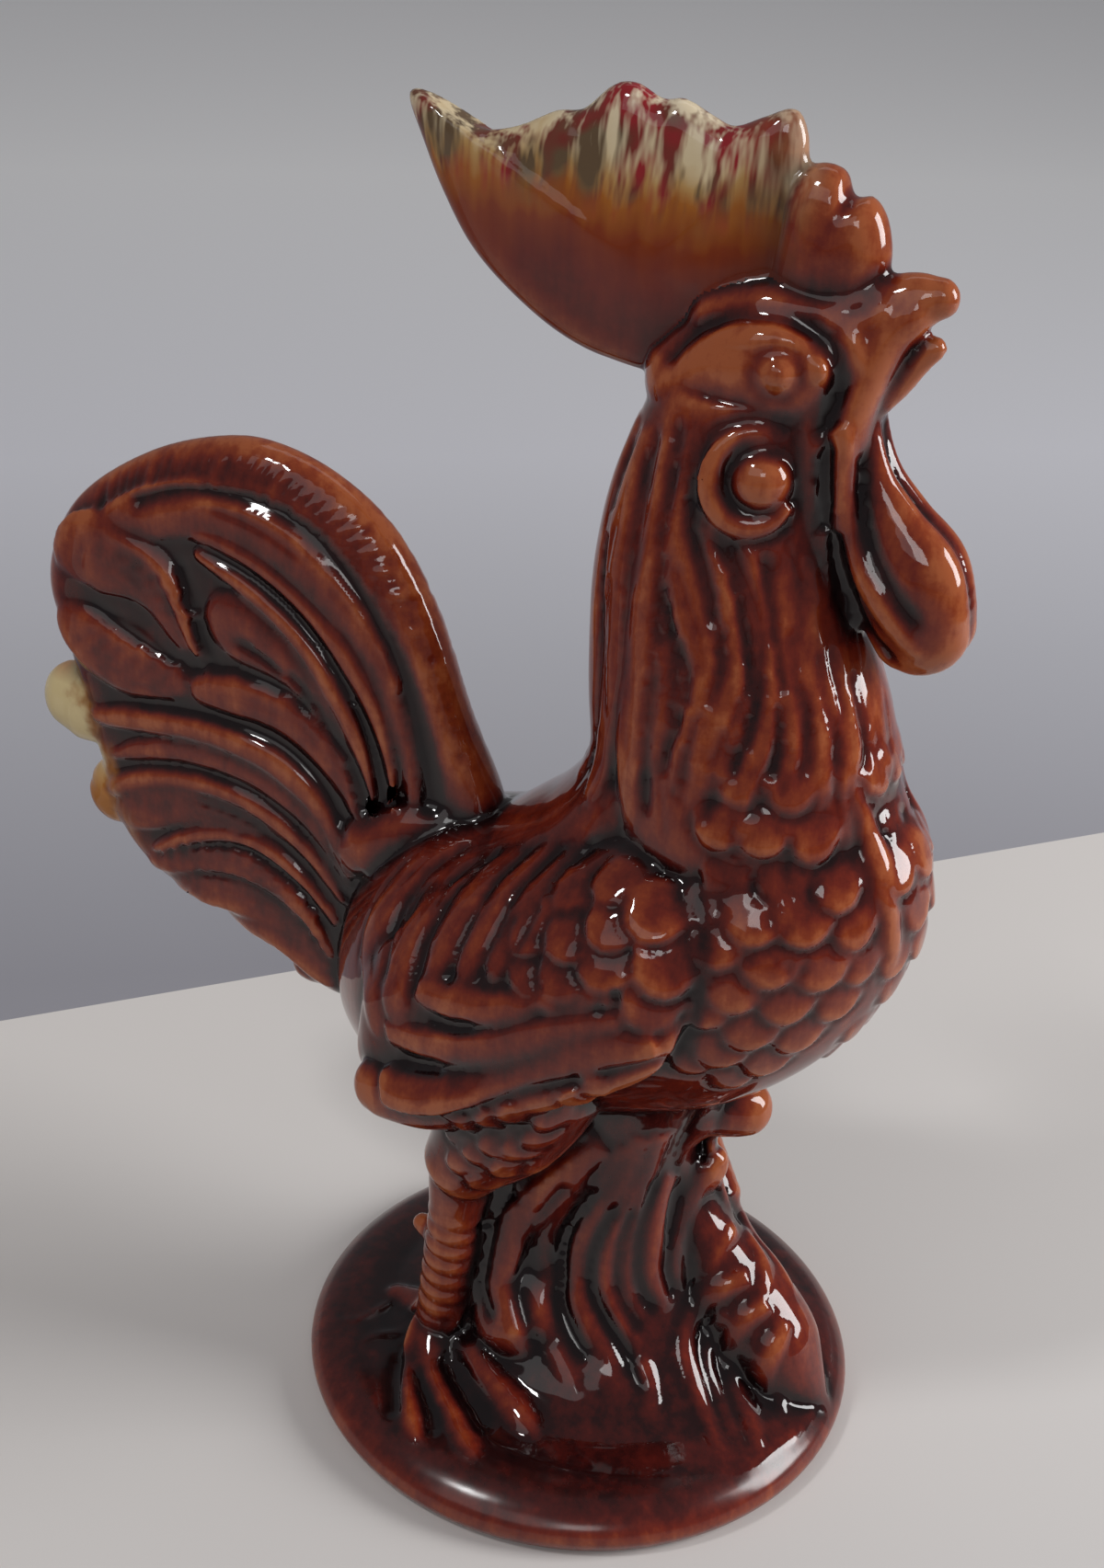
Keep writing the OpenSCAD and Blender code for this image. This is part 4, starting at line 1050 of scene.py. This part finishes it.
for (owner, rise), items in strands.items():
    edges, base = [], 0
    for p, o, h in items:
        edges += [(base + i, base + i + 1) for i in range(len(p) - 1)]
        base += len(p)
    points, outs, halves = (np.concatenate([item[k] for item in items]) for k in range(3))
    mesh = newMesh("strandPaths", points, edges=edges, half=halves, out=outs)
    grow(owner, rolled, mesh, {"Sides": 16, "Rise": rise})
for owner, items in scales.items():
    points, outs, falls, halves = (np.array([item[k] for item in items]) for k in range(4))
    grow(owner, pressed, newMesh("featherPoints", points, half=halves, out=outs, fall=falls), relief)
print("relief grown")

# one wet skin over everything, then the owners of its faces
wet = {
    "voxel": 0.62, "quickVoxel": 1.0, "melt": 3, "tolerance": 400, "skirt": 2.4, "wall": 1.4,
    "shellLimit": 190000, "blunt": 1.25, "bite": 0.8,
}
size = wet["voxel"]
co, quads, edges = fuse(clay, size)
print("glazed skin:", len(quads), "faces")

names = sorted(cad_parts)
verts, faces, owners = joined(clay)
source = BVHTree.FromPolygons(verts.tolist(), faces)
codes = np.array([names.index(owner) for owner in owners])
label = codes[[source.find_nearest(p)[2] for p in co[quads].mean(1).tolist()]]


def settleLabels(label):
    one = np.arange(len(quads))
    for step in range(5):
        votes = np.zeros((len(co), len(names)), np.int32)
        for k in range(4):
            np.add.at(votes, (quads[:, k], label), 1)
        total = votes[quads].sum(1)
        total[one, label] += 1
        label = total.argmax(1)
    return label


# faces that share an edge
def facePairs():
    a = np.sort(np.stack([quads, np.roll(quads, -1, 1)], -1).reshape(-1, 2), 1)
    owner = np.repeat(np.arange(len(quads)), 4)
    key = a[:, 0].astype(np.int64) * len(co) + a[:, 1]
    order = np.argsort(key, kind="stable")
    same = key[order][1:] == key[order][:-1]
    return owner[order][:-1][same], owner[order][1:][same]


def islands(label):
    tag = np.arange(len(quads))
    keep = label[left] == label[right]
    a, b = left[keep], right[keep]
    while True:
        low = np.minimum(tag[a], tag[b])
        before = tag.copy()
        np.minimum.at(tag, tag[a], low)
        np.minimum.at(tag, tag[b], low)
        for step in range(4):
            tag = tag[tag]
        if np.array_equal(before, tag):
            return tag


# islands too small to stand alone; each node keeps its largest one
def smallIslands(label, tag):
    count = np.bincount(tag, minlength=len(quads))
    small = count[tag] < wet["tolerance"]
    for node in range(len(names)):
        own = tag[label == node]
        if len(own):
            small[tag == own[count[own].argmax()]] = False
    return small


# the outer faces of small islands go to the neighbour
def giveAway(small, *marks):
    for near, far in ((left, right), (right, left)):
        edge = small[near] & ~small[far]
        for mark in marks:
            mark[near[edge]] = mark[far[edge]]


label = settleLabels(label)
left, right = facePairs()
for step in range(3):
    small = smallIslands(label, islands(label))
    if not small.any():
        break
    giveAway(small, label)
    for row in range(60):
        tag = islands(label) if row % 20 == 0 else tag
        small = smallIslands(label, tag)
        if not small.any():
            break
        giveAway(small, label, tag)
print("owners settled")

# the glaze melts every edge, and pools where the skin is hollow
co = soften(co, edges, wet["melt"], 0.5, 0.2)


def tooled(co, normals):
    points, width, depth = (np.concatenate([g[k] for g in grooves]) for k in range(3))
    tree = KDTree(len(points))
    for k, q in enumerate(points.tolist()):
        tree.insert(q, k)
    tree.balance()
    nearby = [tree.find(q)[1:] for q in co.tolist()]
    nearest, far = (np.array([f[k] for f in nearby]) for k in (0, 1))
    push = wet["bite"] * depth[nearest] * np.exp(-(far / (wet["blunt"] * width[nearest])) ** 2)
    return co - normals * push[:, None], push


co, push = tooled(co, vertexNormals(co, quads))
co = soften(co, edges, 2, 0.4, 0.1)
normals = vertexNormals(co, quads)
print("grooves tooled:", len(grooves))
degree = degreeOf(edges, len(co))


def diffused(values, rounds):
    for step in range(rounds):
        values = neighbourMean(values, edges, degree)
    return values


def roundsFor(reach):
    return round(2 * (reach / size) ** 2)


near = diffused(co, roundsFor(1.9))
wide = diffused(near, roundsFor(4.4))
near, wide = (((flow - co) * normals).sum(1) for flow in (near, wide))
pool = diffused(near * 0.6 + wide * 0.3 + push * 0.14, 2)[:, 0]
print("pool range", np.percentile(pool, (1, 10, 50, 90, 99)).round(3))


# a node's own entry, or that of its pair
def entry(table, node, other):
    return table.get(node, table.get(node.split("_", 1)[-1], other))


# how much darker the glaze is made on each piece, lighter where negative; the change runs over the joint
pieceDarkening = {
    "plinth": 0.42, "grass_tuft": 0.2, "leg": 0.13, "right_foot": 0.16, "left_foot": 0.2, "tail_fan": 0.12,
    "wing": 0.1, "body": 0.02, "neck": -0.04, "head": -0.12, "wattle": 0.16, "ear_lobe": 0.1, "eye": 0.08,
}
extra = np.array([entry(pieceDarkening, node, 0.0) for node in names])[label]
weight = degreeOf(quads, len(co))
extra = np.bincount(quads.ravel(), np.repeat(extra, 4), len(co)) / weight
pool = pool + diffused(extra, roundsFor(3.5))[:, 0]


# materials


def paint(code):
    rgb = [int(code[i:i + 2], 16) / 255 for i in (1, 3, 5)]
    return tuple(c / 12.92 if c <= 0.04045 else ((c + 0.055) / 1.055) ** 2.4 for c in rgb) + (1.0,)


def newMaterial(name):
    material = bpy.data.materials.new(name)
    material.use_nodes = True
    material.node_tree.nodes.clear()
    return material, material.node_tree


def ramp(tree, factor, stops):
    node = addNode(tree, "ShaderNodeValToRGB", {"Fac": factor})
    while len(node.color_ramp.elements) < len(stops):
        node.color_ramp.elements.new(0.5)
    for element, (place, code) in zip(node.color_ramp.elements, stops):
        element.position = place
        element.color = paint(code)
    return node.outputs["Color"]


def noise(tree, place, scale, detail=2.0, roughness=0.5):
    inputs = {"Vector": place, "Scale": scale, "Detail": detail, "Roughness": roughness}
    return feed(tree, "ShaderNodeTexNoise", inputs, "Fac")


def ranged(tree, value, ends, low=0.0, high=1.0):
    inputs = {"Value": value, "From Min": ends[0], "From Max": ends[1], "To Min": low, "To Max": high}
    return feed(tree, "ShaderNodeMapRange", inputs)


def reckon(tree, operation, *values):
    return feed(tree, "ShaderNodeMath", dict(enumerate(values)), operation=operation)


def mixed(tree, factor, first, second):
    return feed(tree, "ShaderNodeMix", {"Factor": factor, 6: first, 7: second}, 2, data_type="RGBA")


def stretched(tree, place, tall):
    return feed(tree, "ShaderNodeMapping", {"Vector": place, "Scale": (1.0, 1.0, tall)})


def surface(tree, colour, roughness, **more):
    inputs = {"Base Color": colour, "Roughness": roughness, **more}
    addNode(tree, "ShaderNodeOutputMaterial", {"Surface": feed(tree, "ShaderNodeBsdfPrincipled", inputs)})


# treacle glaze over earthenware, dipped and run: amber where it is thin on raised work,
# nearly black where it pools
treacle = {
    "stops": [(0.0, "#9c522e"), (0.14, "#82361a"), (0.31, "#672013"), (0.52, "#46130f"), (0.75, "#230a0a"),
        (1.0, "#110506")],
    "streak": 0.0046, "mottle": 0.0025, "pool": (-0.45, 0.6), "wave": 0.011,
}


def treacleColour(tree, shift):
    t = treacle
    place = feed(tree, "ShaderNodeTexCoord", out="Object")
    thick = feed(tree, "ShaderNodeAttribute", out="Fac", attribute_name="pool")
    streak = noise(tree, stretched(tree, place, 0.2), 1 / t["streak"], 3.0, 0.6)
    mottle = noise(tree, place, 1 / t["mottle"], 4.0, 0.65)
    level = ranged(tree, thick, t["pool"])
    level = reckon(tree, "MULTIPLY_ADD", streak, 0.56, level)
    level = reckon(tree, "MULTIPLY_ADD", mottle, 0.34, level)
    level = reckon(tree, "SUBTRACT", level, 0.45 - shift)
    return ramp(tree, level, t["stops"]), place


def gloss(tree, colour, place, roughness):
    ripple = noise(tree, place, 1 / treacle["wave"])
    bump = feed(tree, "ShaderNodeBump", {"Strength": 0.12, "Distance": 0.0012, "Height": ripple})
    surface(tree, colour, roughness, Normal=bump, IOR=1.5)


def treacleGlaze(name, roughness):
    material, tree = newMaterial(name)
    gloss(tree, *treacleColour(tree, 0.0), roughness)
    return material


# cream slip under the comb's top runs into amber and then treacle, with red and grey drips
combTones = {
    "stops": [(0.0, "#520e08"), (0.3, "#66190b"), (0.48, "#7a300f"), (0.6, "#99591c"), (0.69, "#b08a54"),
        (0.78, "#cdb994"), (1.0, "#dccdb2")],
    "height": (0.23, 0.278), "run": 0.0052, "drip": 0.005, "dripEdge": (0.43, 0.56),
    "dripReach": (0.52, 0.66),
    "dripStops": [(0.42, "#5e4a34"), (0.5, "#6e2c22"), (0.6, "#8c1f24")],
    "blotch": 0.012, "lower": (0.5, 0.2), "front": (0.011, 0.027),
}


def combGlaze():
    c = combTones
    material, tree = newMaterial("combGlaze")
    base, place = treacleColour(tree, 0.05)
    axis = addNode(tree, "ShaderNodeSeparateXYZ", {0: place}).outputs
    wander = noise(tree, place, 90.0, 3.0)
    down = stretched(tree, place, 0.12)
    run = noise(tree, down, 1 / c["run"])
    height = ranged(tree, axis["Z"], c["height"])
    height = reckon(tree, "MULTIPLY_ADD", run, 0.3, height)
    height = reckon(tree, "MULTIPLY_ADD", wander, 0.16, height)
    height = reckon(tree, "SUBTRACT", height, 0.23)
    fade = ramp(tree, height, c["stops"])
    drip = noise(tree, down, 1 / c["drip"], 3.0, 0.7)
    mask = reckon(tree, "MULTIPLY", ranged(tree, drip, c["dripEdge"]), ranged(tree, height, c["dripReach"]))
    tone = ramp(tree, noise(tree, place, 1 / c["blotch"]), c["dripStops"])
    colour = mixed(tree, mask, fade, tone)
    colour = mixed(tree, ranged(tree, height, c["lower"], 0.0, 0.6), colour, base)
    colour = mixed(tree, ranged(tree, axis["X"], c["front"]), colour, base)
    gloss(tree, colour, place, 0.07)
    return material


# treacle glaze that thins to cream on the lowest tail tips
tailTones = {
    "near": (-0.063, -0.0715), "top": (0.143, 0.138), "pale": (0.112, 0.126),
    "stops": [(0.0, "#7a3a12"), (0.5, "#a86a22"), (0.9, "#cdb98a")],
}


def tailGlaze():
    t = tailTones
    material, tree = newMaterial("tailGlaze")
    base, place = treacleColour(tree, 0.04)
    axis = addNode(tree, "ShaderNodeSeparateXYZ", {0: place}).outputs
    slope = reckon(tree, "MULTIPLY_ADD", axis["Z"], 0.35, axis["X"])
    slope = reckon(tree, "MULTIPLY_ADD", noise(tree, place, 160.0, 3.0), 0.012, slope)
    near = ranged(tree, slope, t["near"])
    mask = reckon(tree, "MULTIPLY", near, ranged(tree, axis["Z"], t["top"]))
    pale = reckon(tree, "MULTIPLY", near, ranged(tree, axis["Z"], t["pale"], 0.4))
    gloss(tree, mixed(tree, mask, base, ramp(tree, pale, t["stops"])), place, 0.07)
    return material


glazes = {
    "treacle": treacleGlaze("treacleGlaze", 0.05), "sooty": treacleGlaze("sootyGlaze", 0.2),
    "comb": combGlaze(), "tail": tailGlaze(),
}
coats = {"plinth": "sooty", "comb": "comb", "tail_fan": "tail", "tail_feathers": "tail"}


# closed loops of directed edges
def rimLoops(rim):
    follow = {}
    for a, b in rim.tolist():
        follow.setdefault(a, []).append(b)
    while follow:
        start = next(iter(follow))
        loop, at = [start], start
        while at in follow:
            step = follow[at].pop()
            if not follow[at]:
                del follow[at]
            if step == start:
                break
            loop.append(step)
            at = step
        yield loop


# one closed casting for each node; the cut edges are capped inside the neighbour
def castPiece(node):
    used, local = np.unique(quads[label == names.index(node)], return_inverse=True)
    local = local.reshape(-1, 4)
    count = len(used)
    directed = np.stack([local, np.roll(local, -1, 1)], -1).reshape(-1, 2).astype(np.int64)
    rim = directed[~np.isin(directed @ (count, 1), directed @ (1, count))]
    layers = [(co[used], normals[used], pool[used])]
    caps = []
    if len(local) * 4 < wet["shellLimit"]:
        layers.append((co[used] - normals[used] * wet["wall"], -normals[used], pool[used]))
        caps = (local[:, ::-1] + count).tolist() + [(b, a, a + count, b + count) for a, b in rim.tolist()]
        rim = rim[:0]
    for loop in rimLoops(rim):
        spot, n = used[loop], len(loop)
        sunk = co[spot] - normals[spot] * wet["skirt"]
        for step in range(6):
            sunk = 0.5 * sunk + 0.25 * (np.roll(sunk, 1, 0) + np.roll(sunk, -1, 0))
        out = unit(normals[spot].mean(0) + 1e-6)
        layers.append((sunk, normals[spot], pool[spot]))
        layers.append((sunk.mean(0)[None], out[None], pool[spot].mean()[None]))
        caps += [(loop[(i + 1) % n], loop[i], count + i, count + (i + 1) % n) for i in range(n)]
        caps += [(count + (i + 1) % n, count + i, count + n) for i in range(n)]
        count += n + 1
    points, norms, thick = (np.concatenate([layer[k] for layer in layers]) for k in range(3))
    mesh = newMesh(node, points * mm, local.tolist() + caps, pool=thick)
    mesh.polygons.foreach_set("use_smooth", np.ones(len(mesh.polygons), bool))
    mesh.normals_split_custom_set_from_vertices(norms.tolist())
    piece = inScene("glazed_" + node, mesh)
    mesh.materials.append(glazes[entry(coats, node, "treacle")])
    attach(piece, "root")
    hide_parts(node)
    return len(local) * 2 + len(caps)


total = 0
for node in names:
    triangles = castPiece(node)
    total += triangles
    print("piece", node, triangles)
print("triangles", total)

# stage: a pale table top that darkens towards the camera, and beyond the edge between them a level plane
# painted as the wall behind, with painted light that brightens it away from the edge and to one side
stageSpec = {
    "table": [(0.0, "#dad5d1"), (0.35, "#d2cecb"), (0.75, "#b4b2b1")],
    "wall": [(0.0, "#94939a"), (0.12, "#b8b8be"), (0.26, "#dedee4"), (0.6, "#ffffff")],
    "edge": [(-1.7, -1.528), (1.9, 2.217)], "tableDeep": -0.6, "wallDeep": 1.6, "slant": 0.2,
}
(ax, ay), (bx, by) = stageSpec["edge"]
edgeLength = math.hypot(bx - ax, by - ay)
nx, ny = (by - ay) / edgeLength, -(bx - ax) / edgeLength


def stagePlane(name, corners, tones, deep, slant):
    mesh = newMesh(name, [(x, y, 0) for x, y in corners], [[0, 1, 2, 3]])
    piece = inScene(name, mesh)
    material, tree = newMaterial(name + "Paint")
    place = feed(tree, "ShaderNodeTexCoord", out="Object")
    # the tone runs with distance from the edge; the table darkens towards the camera, and on the wall it is
    # painted light, brighter away from the edge and, by the slant, to one side
    aim = (-nx - ny * slant, -ny + nx * slant, 0)
    away = feed(tree, "ShaderNodeVectorMath", {0: place, 1: aim}, "Value", operation="DOT_PRODUCT")
    start = -(ax * nx + ay * ny)
    surface(tree, ramp(tree, ranged(tree, away, (start, start + deep)), tones), 0.7)
    mesh.materials.append(material)


s = stageSpec
corners = [(ax, ay), (ax + 4 * nx, ay + 4 * ny), (bx + 4 * nx, by + 4 * ny), (bx, by)]
stagePlane("tableTop", corners, s["table"], s["tableDeep"], 0.0)
corners = [(ax, ay), (bx, by), (bx - 4 * nx, by - 4 * ny), (ax - 4 * nx, ay - 4 * ny)]
stagePlane("backdrop", corners, s["wall"], s["wallDeep"], s["slant"])

# light: a window to the right, small lamps that sparkle in the glaze, wide ones for the wall and the room
world = bpy.data.worlds.new("room")
scene.world = world
world.use_nodes = True
world.node_tree.nodes.clear()
sky = feed(world.node_tree, "ShaderNodeBackground", {"Color": paint("#d4d3d8"), "Strength": 0.28})
addNode(world.node_tree, "ShaderNodeOutputWorld", {"Surface": sky})

lamps = {
    "window": {"place": (0.95, 0.3, 0.55), "size": (0.45, 0.6), "power": 10.5},
    "ceiling": {"place": (-0.35, -0.55, 1.05), "size": (0.14, 0.14), "power": 2.9},
    "front": {"place": (0.45, -0.95, 0.75), "size": (0.3, 0.3), "power": 1.3},
    "wall": {"place": (-0.2, 1.2, 2.4), "size": (1.6, 1.6), "power": 6.0, "aim": (-0.6, 3.2, 0.0)},
    "room": {"place": (-0.2, -1.6, 1.3), "size": (1.6, 1.0), "power": 4.0},
}
for name, lamp in lamps.items():
    light = bpy.data.lights.new(name, "AREA")
    light.shape = "RECTANGLE"
    light.size, light.size_y = lamp["size"]
    light.energy = lamp["power"]
    holder = inScene(name, light)
    holder.location = lamp["place"]
    aim = Vector(lamp.get("aim", (0, 0, 0.14))) - Vector(lamp["place"])
    holder.rotation_euler = aim.to_track_quat("-Z", "Y").to_euler()

# camera of the photograph
a, p, r = (math.radians(view[k]) for k in ("azimuth", "pitch", "roll"))
back = Vector((math.sin(a) * math.cos(p), -math.cos(a) * math.cos(p), math.sin(p)))
level = Vector((math.cos(a), math.sin(a), 0))
upright = back.cross(level)
across = level * math.cos(r) + upright * math.sin(r)
up = upright * math.cos(r) - level * math.sin(r)
cam = bpy.data.cameras.new("photoCamera")
cam.lens = view["lens"]
cam.sensor_fit = "AUTO"
cam.sensor_width = view["sensor"]
cam.clip_start, cam.clip_end = 0.01, 20
camera = inScene("photoCamera", cam)
turned = Matrix((across, up, back)).transposed().to_4x4()
camera.matrix_world = Matrix.Translation(Vector(view["place"]) * mm) @ turned
scene.camera = camera
scene.view_settings.view_transform = "Standard"
